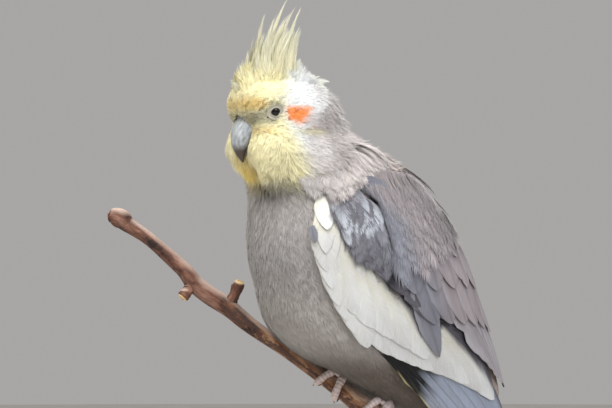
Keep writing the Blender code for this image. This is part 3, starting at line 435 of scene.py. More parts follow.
class Finish:
    """A material while it is made: its shader's constants first, then the nodes that feed it."""

    def __init__(self, name, colour, roughness, **sockets):
        self.material = bpy.data.materials.new(name)
        self.material.use_nodes = True
        self.tree = self.material.node_tree
        self.shader = self.tree.nodes["Principled BSDF"]
        self.shader.inputs["Base Color"].default_value = (*linear(colour), 1.0)
        self.shader.inputs["Roughness"].default_value = roughness
        for socket, value in sockets.items():
            self.shader.inputs[socket.replace("_", " ")].default_value = value

    def add(self, kind, settings=None, links=None, out=0, stops=()):
        """Adds a node, sets its properties and sockets, links it and gives one of its outputs.

        stops are a colour ramp's places and hex colours.
        """
        made = self.tree.nodes.new(f"ShaderNode{kind}")
        for key, value in (settings or {}).items():
            if isinstance(key, int) or key in made.inputs:
                made.inputs[key].default_value = value
            else:
                setattr(made, key, value)
        for step, (spot, colour) in enumerate(stops):
            stop = made.color_ramp.elements[step] if step < 2 else made.color_ramp.elements.new(spot)
            stop.position = spot
            stop.color = (*linear(colour), 1.0)
        self.feed(made, links or {})
        return made.outputs[out]

    def feed(self, node, links):
        """Links outputs to a node's sockets."""
        for socket, output in links.items():
            self.tree.links.new(output, node.inputs[socket])

    def patterns(self, source, *rows):
        """Noise on one source, from rows of its size in millimetres, detail, roughness and stretch."""
        return [self.add("TexNoise", {"Scale": 1 / (size * MM), "Detail": detail, "Roughness": roughness},
                         {"Vector": self.add("Mapping", {"Scale": stretch}, {"Vector": source})})
                for size, detail, roughness, stretch in rows]

    def darkened(self, colour, share, pattern, stops):
        """A colour multiplied by a share of a pattern's shades."""
        shades = self.add("ValToRGB", links={"Fac": pattern}, stops=stops)
        return self.add("Mix", {"data_type": "RGBA", "blend_type": "MULTIPLY", 0: share},
                        {6: colour, 7: shades}, out=2)

    def done(self, height=None, depth=0.0, **links):
        """Feeds the shader and gives the material; a depth in millimetres turns the height to relief."""
        if depth:
            links["Normal"] = self.add("Bump", {"Distance": depth * MM}, {"Height": height})
        self.feed(self.shader, {socket.replace("_", " "): output for socket, output in links.items()})
        return self.material


def one_pattern(finish, places, row, stops, depth=0.0):
    """A material with one noise pattern in its colour and, with a depth, in its relief."""
    pattern, = finish.patterns(finish.add(*places), row)
    shades = finish.add("ValToRGB", links={"Fac": pattern}, stops=stops)
    return finish.done(pattern, depth, Base_Color=shades)


def down_finish():
    """Barbs of soft body feathers: matt keratin threads that catch the light at a grazing angle."""
    down = Finish("soft_feather_barbs", "#A19F9F", 0.85, Sheen_Weight=0.25, Sheen_Roughness=0.5,
                  Specular_IOR_Level=0.25)
    return down.done(Base_Color=down.add(*MARKINGS))


def skin_finish():
    """Down close to the skin, seen only between feathers: matt, with the feathers' own markings."""
    skin = Finish("under_down", "#A19F9F", 0.95)
    clumps, = skin.patterns(skin.add(*OBJECT_PLACES), (1.6, *PLAIN))
    tint = skin.darkened(skin.add(*MARKINGS), 0.5, clumps, ((0.3, "#8A8480"), (0.7, WHITE)))
    return skin.done(clumps, 0.5, Base_Color=tint)


def vane_finish():
    """Zipped flight feathers: smooth keratin vanes with fine slanting barbs and a faint silk gloss."""
    vane = Finish("zipped_feather_vanes", "#5C5A63", 0.55, Sheen_Weight=0.06, Sheen_Roughness=0.4,
                  Specular_IOR_Level=0.25)
    chart = vane.add("UVMap", {"uv_map": "vane"})
    out_way, down_way = (vane.add("SeparateXYZ", links={0: chart}, out=axis) for axis in "XY")
    across = vane.add("Math", {"operation": "ABSOLUTE"}, {0: out_way})
    slant = vane.add("Math", {"operation": "MULTIPLY_ADD", 1: -1.5}, {0: across, 2: down_way})
    barbs = vane.add("CombineXYZ", links={0: slant, 1: out_way})
    # Real barbs stand 0.2 mm apart; these are drawn 0.7 mm apart so that they show.
    lines, = vane.patterns(barbs, (0.7, 3.0, 0.6, (1.0, 0.12, 1.0)))
    broad, = vane.patterns(chart, (7.0, 2.0, 0.5, (1.0, 0.4, 1.0)))
    fine = vane.darkened(vane.add(*MARKINGS), 0.55, lines, ((0.3, "#DEDCDA"), (0.65, WHITE)))
    wide = vane.darkened(fine, 0.5, broad, ((0.35, "#D9D5D3"), (0.65, WHITE)))
    return vane.done(lines, 0.03, Base_Color=wide)


def horn_finish():
    """Horn of a bill: smooth blue-grey keratin with fine lengthwise lines and a dark worn tip."""
    horn = Finish("bill_horn", "#A3A7AC", 0.42, Coat_Weight=0.15)
    grain = horn.add(*GRAIN_PLACES)
    lines, patches = horn.patterns(grain, (0.9, 4.0, 0.6, (1.0, 1.0, 0.12)), (3.5, 2.0, 0.5, (1.0, 1.0, 0.5)))
    pale = horn.add("ValToRGB", links={"Fac": lines}, stops=((0.32, "#868D94"), (0.66, "#C9CED0")))
    mottled = horn.darkened(pale, 0.6, patches, ((0.35, "#B8BCC4"), (0.7, WHITE)))
    along = horn.add("SeparateXYZ", links={0: grain}, out="Z")
    # The tip darkens from 12.4 to 14.6 mm along the bill.
    wear = horn.add("MapRange", {1: 12.4 * MM, 2: 14.6 * MM}, {0: along})
    tint = horn.add("Mix", {"data_type": "RGBA", 7: (*linear("#41332C"), 1.0)}, {0: wear, 6: mottled}, out=2)
    return horn.done(lines, 0.1, Base_Color=tint)


def eye_finish():
    """A wet dark brown eye under a clear smooth cornea."""
    return one_pattern(Finish("wet_eye", "#0C0806", 0.04, IOR=1.376), OBJECT_PLACES,
                       (0.8, *PLAIN), ((0.35, "#070504"), (0.7, "#130D0A")))


def lid_finish():
    """Bare lid skin: dry, finely wrinkled and pale grey."""
    return one_pattern(Finish("lid_skin", "#A5A292", 0.75), OBJECT_PLACES,
                       (0.5, *PLAIN), ((0.3, "#8E8B7C"), (0.7, "#BAB7A6")), 0.15)


def cere_finish():
    """The cere: bare waxy skin over the nostrils, dark grey and finely pitted."""
    return one_pattern(Finish("waxy_cere", "#77736A", 0.6), OBJECT_PLACES,
                       (0.6, *PLAIN), ((0.3, "#5A564E"), (0.7, "#8F8B80")), 0.15)


def pit_finish():
    """A nostril: a dark patch of painted shadow for the opening, which no light reaches inside."""
    return one_pattern(Finish("nostril_painted_shadow", "#1C1613", 0.7), OBJECT_PLACES,
                       (0.5, *PLAIN), ((0.3, "#120D0B"), (0.7, "#2A211C")))


def foot_finish():
    """Scaly foot skin: small dry plates across the toes, pinkish grey with a faint gloss."""
    foot = Finish("scaly_foot_skin", "#C4B2AE", 0.5)
    grain = foot.add(*GRAIN_PLACES)
    # Toe plates are about 1.2 mm long.
    plates = foot.add("TexWave", {"bands_direction": "Z", "Scale": WAVE_STEP / (1.2 * MM),
                                  "Distortion": 2.5, "Detail": 3.0}, {"Vector": grain}, out="Fac")
    cracks = foot.add("ValToRGB", links={"Fac": plates}, stops=((0.03, "#C0B1AC"), (0.3, "#D6C9C6")))
    spots, = foot.patterns(grain, (1.5, *PLAIN))
    tint = foot.darkened(cracks, 0.7, spots, ((0.3, "#B9ABA8"), (0.7, WHITE)))
    return foot.done(plates, 0.12, Base_Color=tint)


def claw_finish():
    """Claw horn: dark brown grey, smooth and a little glossy, with fine lengthwise lines."""
    return one_pattern(Finish("claw_horn", "#4B423E", 0.35), GRAIN_PLACES,
                       (0.8, 3.0, 0.5, (1.0, 1.0, 0.2)), ((0.3, "#3A322F"), (0.7, "#6A5D56")))


def bark_finish():
    """Smooth young bark: brown, weathered dark in patches and peeled in part, with a painted highlight on
    top.
    """
    bark = Finish("young_bark", "#8A5A3C", 0.75)
    grain = bark.add(*GRAIN_PLACES)
    long_grain, blots, fine = bark.patterns(grain, (2.2, 5.0, 0.65, (1.0, 1.0, 0.22)),
                                            (6.0, 5.0, 0.65, (1.0, 1.0, 0.45)),
                                            (0.7, 5.0, 0.7, (1.0, 1.0, 0.35)))
    whole = bark.add("ValToRGB", links={"Fac": long_grain},
                     stops=((0.28, "#553B33"), (0.5, "#7A5547"), (0.72, "#A58272")))
    peeled = bark.add("ValToRGB", links={"Fac": long_grain},
                      stops=((0.32, "#5E3F30"), (0.5, "#98704F"), (0.68, "#D8B698")))
    along = bark.add("SeparateXYZ", links={0: grain}, out="Z")
    shift = bark.add("Math", {"operation": "MULTIPLY_ADD", 1: 12 * MM}, {0: blots, 2: along})
    # The bark is whole out to the big side twig, 58 mm along, and has peeled off beyond it.
    bare = bark.add("MapRange", {1: 61 * MM, 2: 65 * MM}, {0: shift})
    base = bark.add("Mix", {"data_type": "RGBA"}, {0: bare, 6: whole, 7: peeled}, out=2)
    worn = bark.darkened(base, 1.0, blots, ((0.38, "#4A3432"), (0.47, "#D8C6BA"), (0.6, WHITE)))
    upward = bark.add("SeparateXYZ", links={0: bark.add("NewGeometry", out="Normal")}, out="Z")
    # A torn dark strip of old bark is left along the flank and underside of the peeled part.
    torn = bark.add("Math", {"operation": "MULTIPLY_ADD", 1: 2.2}, {0: fine, 2: upward})
    ragged_edge = bark.add("Math", {"operation": "MULTIPLY_ADD", 1: 3.0}, {0: blots, 2: torn})
    flank = bark.add("Math", {"operation": "COMPARE", 1: 2.35, 2: 0.33}, {0: ragged_edge})
    thinned = bark.add("Math", {"operation": "MULTIPLY", 1: 0.9}, {0: flank})
    strip = bark.add("Math", {"operation": "MULTIPLY"}, {0: thinned, 1: bare})
    old = bark.add("Mix", {"data_type": "RGBA", 7: (*linear("#4A322C"), 1.0)}, {0: strip, 6: worn}, out=2)
    # Painted highlight: the bark turns pale where it faces up.
    top = bark.add("MapRange", {1: 0.35, 2: 0.9, 4: 0.9}, {0: upward})
    rough = bark.add("Math", {"operation": "ADD"}, {0: long_grain, 1: fine})
    tint = bark.add("Mix", {"data_type": "RGBA", 7: (*linear("#C9B2A6"), 1.0)}, {0: top, 6: old}, out=2)
    return bark.done(rough, 0.5, Base_Color=tint)


def cut_wood_finish():
    """A sawn end of a twig: pale wood with fine rings round the pith."""
    wood = Finish("sawn_twig_end", "#C9A67C", 0.8)
    flat = wood.add("Mapping", {"Scale": (1, 1, 0)}, {"Vector": wood.add(*GRAIN_PLACES)})
    # Real rings in so thin a twig are finer; these are drawn 1.2 mm apart so that they show.
    rings = wood.add("TexWave", {"wave_type": "RINGS", "rings_direction": "Z", "Distortion": 1.5,
                                 "Scale": WAVE_STEP / (1.2 * MM)}, {"Vector": flat}, out="Fac")
    shades = wood.add("ValToRGB", links={"Fac": rings}, stops=((0.2, "#9C7449"), (0.7, "#D8BB8E")))
    return wood.done(rings, 0.08, Base_Color=shades)


def steel_finish():
    """Satin stainless steel, drawn along the rod: fine lengthwise scratches spread its highlights."""
    steel = Finish("satin_steel_rod", "#C4C4C6", 0.32, Metallic=1.0)
    # Real scratches are far finer; these are 0.4 mm wide so that they show.
    scratches, = steel.patterns(steel.add(*OBJECT_PLACES), (0.4, 3.0, 0.6, (1.0, 1.0, 0.02)))
    return steel.done(scratches, 0.02, Roughness=steel.add("MapRange", {3: 0.24, 4: 0.42}, {0: scratches}))


def stained_wood_finish():
    """Turned hardwood, stained dark and satin lacquered, with its straight grain showing."""
    wood = Finish("dark_stained_hardwood", "#3A2A20", 0.38, Coat_Weight=0.2)
    grain, pores = wood.patterns(wood.add(*OBJECT_PLACES), (2.5, 5.0, 0.6, (1.0, 0.06, 1.0)),
                                 (0.9, 3.0, 0.6, (1.0, 0.08, 1.0)))
    shades = wood.add("ValToRGB", links={"Fac": grain},
                      stops=((0.3, "#2A1D16"), (0.55, "#46332A"), (0.75, "#5A4234")))
    return wood.done(pores, 0.05, Base_Color=shades)


def floor_finish():
    """A painted studio floor: pale matt paint, faintly uneven over the width of a hand."""
    return one_pattern(Finish("painted_studio_floor", "#D9D5D0", 0.9), OBJECT_PLACES,
                       (30.0, *PLAIN), ((0.3, "#D4D0CB"), (0.7, "#DEDAD6")))


# Making pieces

def object_of(mesh, material):
    """A mesh's object in the scene, shaded smooth."""
    mesh.polygons.foreach_set("use_smooth", np.ones(len(mesh.polygons), bool))
    mesh.materials.append(material)
    made = bpy.data.objects.new(mesh.name, mesh)
    bpy.context.scene.collection.objects.link(made)
    return made


def object_of_shell(shell, name, material):
    """An object made of a built shell, which is used up."""
    mesh = bpy.data.meshes.new(name)
    shell.to_mesh(mesh)
    shell.free()
    return object_of(mesh, material)


def attach(made, nodes=()):
    """Lets a piece ride on the model and hides the solids that it stands for."""
    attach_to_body(made, "root")
    if nodes:
        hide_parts(*nodes)


def tint_points(mesh, colours):
    """Writes the feather colours on a mesh's points."""
    tint = mesh.color_attributes.new(name="plumage", type="FLOAT_COLOR", domain="POINT")
    opaque = np.column_stack([np.clip(colours, 0, 1), np.ones(len(colours))])
    tint.data.foreach_set("color", opaque.astype(np.float32).ravel())


def make_piece(name, points, faces, material, nodes, uvs, colours):
    """A piece from arrays: points in the bird's frame, and lists of three- or four-cornered faces."""
    mesh = bpy.data.meshes.new(name)
    mesh.vertices.add(len(points))
    mesh.vertices.foreach_set("co", place(points).astype(np.float32).ravel())
    corners = np.concatenate([group.ravel() for group in faces]).astype(np.int32)
    sizes = np.concatenate([np.full(len(group), group.shape[1]) for group in faces])
    mesh.loops.add(len(corners))
    mesh.loops.foreach_set("vertex_index", corners)
    mesh.polygons.add(len(sizes))
    mesh.polygons.foreach_set("loop_start", np.concatenate([[0], np.cumsum(sizes)[:-1]]).astype(np.int32))
    for layer_name, values in uvs.items():
        layer = mesh.uv_layers.new(name=layer_name)
        layer.data.foreach_set("uv", values[corners].astype(np.float32).ravel())
    tint_points(mesh, colours)
    mesh.update(calc_edges=True)
    mesh.validate()
    made = object_of(mesh, material)
    attach(made, nodes)
    return made


def rounded(name, mapping, rounds, around, material, nodes=(), tinted=False):
    """A closed rounded piece: a ball whose rows and turns are mapped to points and grain places."""
    shell = bmesh.new()
    bmesh.ops.create_uvsphere(shell, u_segments=around, v_segments=rounds, radius=1)
    spots = np.array([vertex.co for vertex in shell.verts])
    rows = np.arccos(np.clip(-spots[:, 2], -1, 1)) / math.pi
    turns = np.arctan2(spots[:, 0], spots[:, 1]) % FULL_TURN
    points, grain = mapping(rows, turns)
    for vertex, point in zip(shell.verts, place(points)):
        vertex.co = point
    bmesh.ops.recalc_face_normals(shell, faces=shell.faces)
    made = object_of_shell(shell, name, material)
    along_grain = made.data.attributes.new(name="grain", type="FLOAT_VECTOR", domain="POINT")
    along_grain.data.foreach_set("vector", (grain * MM).astype(np.float32).ravel())
    if tinted:
        tint_points(made.data, plumage(points))
    attach(made, nodes)


def tube_mapping(line, widths, heights, across, cap=0.12, blunt=0.6):
    """A mapping of rows and turns to a tube with rounded ends along a line."""
    line = np.asarray(line, float)
    widths, heights = (np.broadcast_to(np.asarray(sizes, float), len(line)) for sizes in (widths, heights))
    spread = np.linspace(0, 1, len(line))
    lengths = np.concatenate([[0], np.cumsum(np.linalg.norm(np.diff(line, axis=0), axis=1))])

    def mapping(rows, turns):
        spot = np.clip((rows - cap) / (1 - 2 * cap), 0, 1)
        end = np.clip((rows - 1 + cap) / cap, 0, 1) - np.clip(1 - rows / cap, 0, 1)
        ahead = unit(on_line(spot, unit(np.gradient(line, axis=0))))
        side = unit(across - ahead * (ahead @ across)[..., None])
        up = np.cross(ahead, side)
        wide, high, long = (np.interp(spot, spread, sizes) for sizes in (widths, heights, lengths))
        shrink = np.cos(end * math.pi / 2) ** blunt
        swell = np.sin(end * math.pi / 2) * np.minimum(wide, high) * blunt
        points = (on_line(spot, line) + side * (wide * shrink * np.sin(turns))[..., None]
                  + up * (high * shrink * np.cos(turns))[..., None] + ahead * swell[..., None])
        return points, np.stack([wide * np.sin(turns), high * np.cos(turns), long], axis=-1)

    return mapping


def ball_mapping(centre, axes):
    """A mapping to an oval ball, given its three half axes."""

    def mapping(rows, turns):
        ring = np.sin(rows * math.pi)
        points = (centre + (ring * np.sin(turns))[..., None] * axes[0]
                  + (ring * np.cos(turns))[..., None] * axes[1] - np.cos(rows * math.pi)[..., None] * axes[2])
        return points, points

    return mapping


# Soft feathers

# Barbs fan out to this many degrees on each side of the shaft; a barb's root, middle and tip rise
# in these shares of the feather's fluff, and its five points are shaded from root to tip.
BARB_FAN = 118
FLUFF_SHARES = np.array([0.2, 1.0, 1.4])
# Painted shade: each barb is darker at its root, where the feathers overlap, and a little lighter at its tip.
BARB_SHADES = np.array([0.80, 0.80, 0.98, 0.98, 1.08])
BARB_POINTS = 5
COAT_LIMIT = 60000


def doubled(values):
    """A barb's values at its root, middle and tip, as they are at its two, two and one points."""
    return np.stack([values[..., 0], values[..., 0], values[..., 1], values[..., 1], values[..., 2]], axis=-1)


def soft_feathers(shafts, normals, half, tint, chart, barbs, thread, loose=0.12, fluff=0.12, point=0.0):
    """Soft feathers, each a fan of tapering barbs: points, faces, patches and colours.

    shafts holds each feather's root, middle and tip; half its half width; tint its colours at the
    root and tip; chart its place in the bake map. thread is a barb's width at its root, loose and
    fluff let barbs stray along and off the feather, and point narrows it towards its tip.
    """
    count = len(half)
    turn = np.radians(np.linspace(-BARB_FAN, BARB_FAN, barbs)) + RNG.normal(0, 0.07, (count, barbs))
    reach = np.clip(RNG.normal(1, loose, (count, barbs)), 0.6, 1.35)
    tip = 0.56 + 0.44 * np.cos(turn) * reach
    root = np.clip(tip - 0.42 - 0.12 * np.abs(np.sin(turn)), 0.03, 0.9)
    spot = np.stack([root, (root + tip) / 2, tip], axis=-1)
    wide = half[:, None] * np.sin(turn) * reach * (1 - point * np.clip(2 * tip - 1, 0, 1))
    wide = np.stack([np.zeros_like(wide), wide * 0.62, wide], axis=-1)
    # The shaft is the curve through its three points.
    first, middle, last = (shafts[:, step, None, None] for step in range(3))
    s = spot[..., None]
    line = first * (1 - s) * (1 - 2 * s) + middle * 4 * s * (1 - s) + last * s * (2 * s - 1)
    way = unit(first * (4 * s - 3) + middle * (4 - 8 * s) + last * (4 * s - 1))
    up = normals[:, None, None]
    raised = RNG.normal(0, fluff, (count, barbs, 1)) * FLUFF_SHARES
    line = line + unit(np.cross(way, up)) * wide[..., None] + up * (raised - wide ** 2 / 40)[..., None]
    ahead = line[:, :, 2] - line[:, :, 0]
    flat = unit(np.cross(ahead, np.broadcast_to(up[:, :, 0], ahead.shape)))
    edge = flat * (thread / 2 * RNG.uniform(0.75, 1.25, (count, barbs)))[..., None]
    points = np.stack([line[:, :, 0] - edge, line[:, :, 0] + edge, line[:, :, 1] - edge * 0.9,
                       line[:, :, 1] + edge * 0.9, line[:, :, 2]], axis=2).reshape(-1, 3)
    share, patch = doubled(spot), doubled(wide)
    middle = np.clip(chart, 0.003, 0.997)[:, None, None]
    u = middle[..., 0] + 0.0015 * patch / (half[:, None, None] * 1.3)
    v = middle[..., 1] + 0.0012 * (2 * share - 1)
    shade = BARB_SHADES * RNG.normal(1, 0.07, (count, barbs, 1))
    colour = mix(tint[:, None, None, 0], tint[:, None, None, 1], share)
    colour = colour * (shade * RNG.normal(1, 0.05, (count, 1, 1)))[..., None]
    start = np.arange(count * barbs)[:, None] * BARB_POINTS
    faces = [start + [0, 1, 3, 2], start + [2, 3, 4]]
    return points, faces, np.stack([u, v], axis=-1).reshape(-1, 2), colour.reshape(-1, 3)


def coat(name, feathers, nodes=()):
    """Soft feathers as pieces of fewer than 200,000 triangles each."""
    points, faces, patches, colours = feathers
    count = len(points) // BARB_POINTS
    pieces = math.ceil(count / COAT_LIMIT)
    for piece in range(pieces):
        first, last = piece * count // pieces, (piece + 1) * count // pieces
        part = slice(first * BARB_POINTS, last * BARB_POINTS)
        groups = [group[first:last] - first * BARB_POINTS for group in faces]
        make_piece(f"{name}_{piece + 1}" if pieces > 1 else name, points[part], groups, BARBS,
                   nodes if piece == 0 else (), {"OFBake": patches[part]}, colours[part])


def scatter(count, density):
    """Feather roots over the body, spread by area times a density: points, rows, turns, spine."""
    rows, turns = np.meshgrid(np.linspace(0.005, 0.995, 160), np.linspace(0, FULL_TURN, 200), indexing="ij")
    grid, _ = body_point(rows, turns, 0.0)
    area = np.linalg.norm(np.cross(np.diff(grid, axis=0)[:, :-1], np.diff(grid, axis=1)[:-1]), axis=-1)
    total = np.cumsum((area * density(grid[:-1, :-1])).ravel())
    picks = (np.arange(count) + RNG.random(count)) / count * total[-1]
    row, turn = np.divmod(np.clip(np.searchsorted(total, picks), 0, len(total) - 1), area.shape[1])
    row = rows[row, 0] + RNG.random(count) * (rows[1, 0] - rows[0, 0])
    turn = turns[0, turn] + RNG.random(count) * (turns[0, 1] - turns[0, 0])
    spots, along = body_point(row, turn, 0.0)
    return spots, row, turn, along


def keep_rows(feathers, keep):
    """Only the feathers that are kept, of arrays with one row a feather."""
    return [values[keep] for values in feathers]


# The branch's line, which the feathers leave room for

BRANCH_DEPTH = -3.8
BRANCH_TURN = 0.25
# Places along the branch as the camera sees it: across, up and the branch's radius.
BRANCH_STATIONS = (
    (-84.6, 61.0, 2.2), (-83.0, 61.0, 3.3), (-80.0, 59.8, 3.4), (-76.4, 56.6, 2.5), (-69.4, 52.0, 2.3),
    (-59.0, 42.8, 2.8), (-53.0, 36.2, 3.3), (-43.8, 29.6, 3.5), (-33.0, 21.4, 3.0),
    (-22.0, 13.8, 3.0), (-10.0, 5.6, 3.0), (0.0, -1.8, 3.2), (10.0, -8.8, 3.9),
    (18.0, -13.8, 3.9), (24.0, -17.0, 3.7),
)
BRANCH_POINTS = 121


def branch_line(count):
    """The branch's middle line and its radii, from the knob down to the cut end."""
    rows = smooth_line([
        (*(along * VIEW_RIGHT + (BRANCH_DEPTH + BRANCH_TURN * along) * VIEW_NEAR + height * UP), radius)
        for along, height, radius in BRANCH_STATIONS], count)
    return rows[:, :3], rows[:, 3]


BRANCH, BRANCH_RADII = branch_line(BRANCH_POINTS)


def branch_frame(along):
    """The branch's middle, direction, side towards the bird's front, up and radius at a place."""
    places = BRANCH @ VIEW_RIGHT
    middle, ahead = (np.array([np.interp(spot, places, column) for column in BRANCH.T])
                     for spot in (along, along + 1))
    way = unit(ahead - middle)
    front = unit(np.cross(way, UP))
    return middle, way, front, np.cross(front, way), float(np.interp(along, places, BRANCH_RADII))


def clear_of_branch(shafts, room):
    """Where neither the middle nor the tip of a feather comes near the branch's bark."""
    far = np.linalg.norm(shafts[:, 1:, None] - BRANCH, axis=-1) - BRANCH_RADII
    return far.min(axis=(1, 2)) > room


# The body's coat, from the head to the rump

BODY_FEATHERS = 7600
HEAD_FEATHERS = 9000
SKIN_DEPTH = 1.6
BILL_ROOT = head_place(0.0, 22.0, -2.0)


def feather_flow(points, along):
    """The way that feathers lie: back from the bill over the head, and down the body."""
    _, forward, up = in_head(points)
    sink = smooth_step(-forward, -4, 12)[..., None] * UP * -26.0
    over_head = unit(points - BILL_ROOT + sink)
    share = smooth_step(up, -27, -17)[..., None]
    return unit(over_head * share - along * (1 - share))


def body_shafts(roots, normals, flow, long, lifts):
    """Root, middle and tip points of feathers that lie on the body, at their lifts over it."""
    flow = square_to(flow, normals)
    middle = settle(roots + flow * (long / 2)[:, None], lifts[1], 2)
    tip = settle(middle + unit(middle - roots) * (long / 2)[:, None], lifts[2], 2)
    astray = np.linalg.norm(tip - roots, axis=-1) > 1.25 * long
    middle[astray], tip[astray] = roots[astray], roots[astray] + normals[astray] * 0.1
    return np.stack([roots + normals * lifts[0], middle, tip], axis=1)


def bake_places(turns, rows):
    """A feather's place in its piece's bake map, from its place on the body."""
    return np.column_stack([turns / FULL_TURN, rows])


def under_wing(points):
    """1 where a folded wing covers the body."""
    t, phi = wing_chart(points)
    dorsal, front = wing_edges(t)
    inside = smooth_step(phi - dorsal, 4, 8) * smooth_step(front - phi, 4, 8)
    return inside * smooth_step(t, 4, 8) * smooth_step(108 - t, 0, 4)


def head_share(points):
    """1 on the head and 0 below the cheeks."""
    return smooth_step(in_head(points)[2], -24, -18)


def bare_face(points):
    """True where the eye and the bill leave no room for feathers."""
    side, forward, up = in_head(points)
    eye = np.hypot((forward - EYE_PLACE[0] + 0.5) / 1.7, (up - EYE_PLACE[1]) / 1.55)
    bill = np.hypot(side / 4.6, (up + 6.4) / 6.6)
    return (eye < 1) | ((forward > 12) & (bill < 1))


def lay_skin():
    """One skin under all the body's feathers, from the crown to the rump."""

    def body_mapping(rows, turns):
        points, _ = body_point(rows, turns, -SKIN_DEPTH)
        return points, points

    rounded("under_down_skin", body_mapping, 110, 120, SKIN, ("head", "neck", "torso"),
            tinted=True)


def lay_body():
    """Breast, belly, back and neck feathers, about 9 mm long and longer on the back."""
    roots, rows, turns, along = scatter(
        BODY_FEATHERS, lambda points: (1 - head_share(points)) * (1 - under_wing(points)) + 0.02)
    count = len(roots)
    normals = outward(roots)
    flow = feather_flow(roots, along) + RNG.normal(0, 0.16, roots.shape)
    t, phi = wing_chart(roots)
    mantle = smooth_step(100 - phi, 0, 30) * smooth_step(t, -14, 0)
    long = RNG.uniform(7.5, 10.5, count) + 4.5 * mantle
    half = RNG.uniform(2.0, 2.9, count) + 1.4 * mantle
    raised = 0.5 + 0.35 * RNG.random(count) + 0.9 * mantle * RNG.random(count)
    shafts = body_shafts(roots, normals, flow, long, (-1.2, 0.0, raised))
    tint = np.stack([plumage(roots + flow * 2.0), plumage(shafts[:, 2])], axis=1)
    free = clear_of_branch(shafts, 0.3)
    feathers = keep_rows((shafts, normals, half, tint, bake_places(turns, rows)), free)
    coat("body_coat", soft_feathers(*feathers, barbs=22, thread=0.30))


def lay_head():
    """Short face feathers that grow longer over the crown, the nape and the puffed cheeks."""
    roots, rows, turns, along = scatter(HEAD_FEATHERS, lambda points: head_share(points) * ~bare_face(points))
    count = len(roots)
    side, forward, up = in_head(roots)
    normals = outward(roots)
    flow = feather_flow(roots, along) + RNG.normal(0, 0.13, roots.shape)
    cheek = smooth_step(-up, 3, 12) * smooth_step(forward, -8, 4)
    gape = smooth_step(forward, 8, 13) * smooth_step(-up, 2, 7) * smooth_step(np.abs(side), 4, 7)
    nape = smooth_step(-forward, 4, 12)
    fine = smooth_step(9 - np.hypot(forward - EYE_PLACE[0], up - EYE_PLACE[1]), 0, 6)
    far_front = smooth_step(-side, 2, 6) * smooth_step(forward, 8, 13)
    brow = smooth_step(forward, 14, 18) * smooth_step(up, 2, 6)
    # Beside the gape the feathers point forward and down, past the bill.
    past_bill = np.sign(side)[:, None] * HEAD_AXES[0] * 0.1 + HEAD_AXES[1] * 0.6 - UP * 0.85
    flow = flow * (1 - gape[:, None]) + unit(past_bill) * gape[:, None]
    long = RNG.uniform(3.6, 5.0, count) + 3.4 * cheek + 2.6 * nape - 1.9 * fine
    half = RNG.uniform(0.9, 1.4, count) + 0.5 * cheek + 0.6 * nape - 0.35 * fine
    raised = 0.35 + 0.3 * RNG.random(count) - 0.2 * fine + 0.5 * brow
    raised += cheek * RNG.uniform(0.2, 1.1, count) * (1 - 0.8 * far_front) - 1.1 * far_front
    shafts = body_shafts(roots, normals, flow, long, (-0.8, raised * 0.4, raised))
    puffed = gape * RNG.uniform(-0.4, 0.9, count) * (1 - far_front) + 2.2 * nape * RNG.random(count) ** 4
    shafts[:, 2] += normals * puffed[:, None]
    tint = np.stack([plumage(roots + flow * 1.2), plumage((shafts[:, 1] + shafts[:, 2]) / 2)], axis=1)
    feathers = soft_feathers(shafts, normals, half, tint, bake_places(turns, rows),
                             barbs=11, thread=0.22, loose=0.16)
    coat("head_coat", feathers)


# Flight feathers and coverts, made as thin vanes with a raised shaft

VANE_ROWS = 20
VANE_SHARES = np.array([-1.0, -0.84, -0.6, -0.3, -0.05, 0.0, 0.05, 0.3, 0.6, 0.84, 1.0])
VANE_TILT = 0.2
VANE_DOME = 0.1
SHAFT_HEIGHT = 0.08
VANE_THICKNESS = 0.12
VANE_RELIEF = VANE_DOME * (1 - np.abs(VANE_SHARES)) + SHAFT_HEIGHT * np.exp(-(VANE_SHARES / 0.05) ** 2)
VANE_CHART_STEP = 37.0
# The white patch's inner edge, and the gap between the coverts and the scapulars, painted dark with shade
# over the feathers' darker bases: t and phi.
WHITE_INNER = np.transpose((
    (0, 110), (5, 109), (8.2, 113.5), (16.5, 111), (20, 112), (24, 110), (28, 111), (30.8, 104.5),
    (33.8, 102.5), (38, 100.5), (42, 99.5), (47, 96.5), (52.5, 94), (62.5, 93), (65, 76), (75, 69),
    (90, 53), (100, 44)))
GAP_LINE = np.transpose(((2.5, 91), (7, 85), (13.2, 82), (20.2, 86), (27.5, 88.5), (32.5, 92), (38.8, 97)))
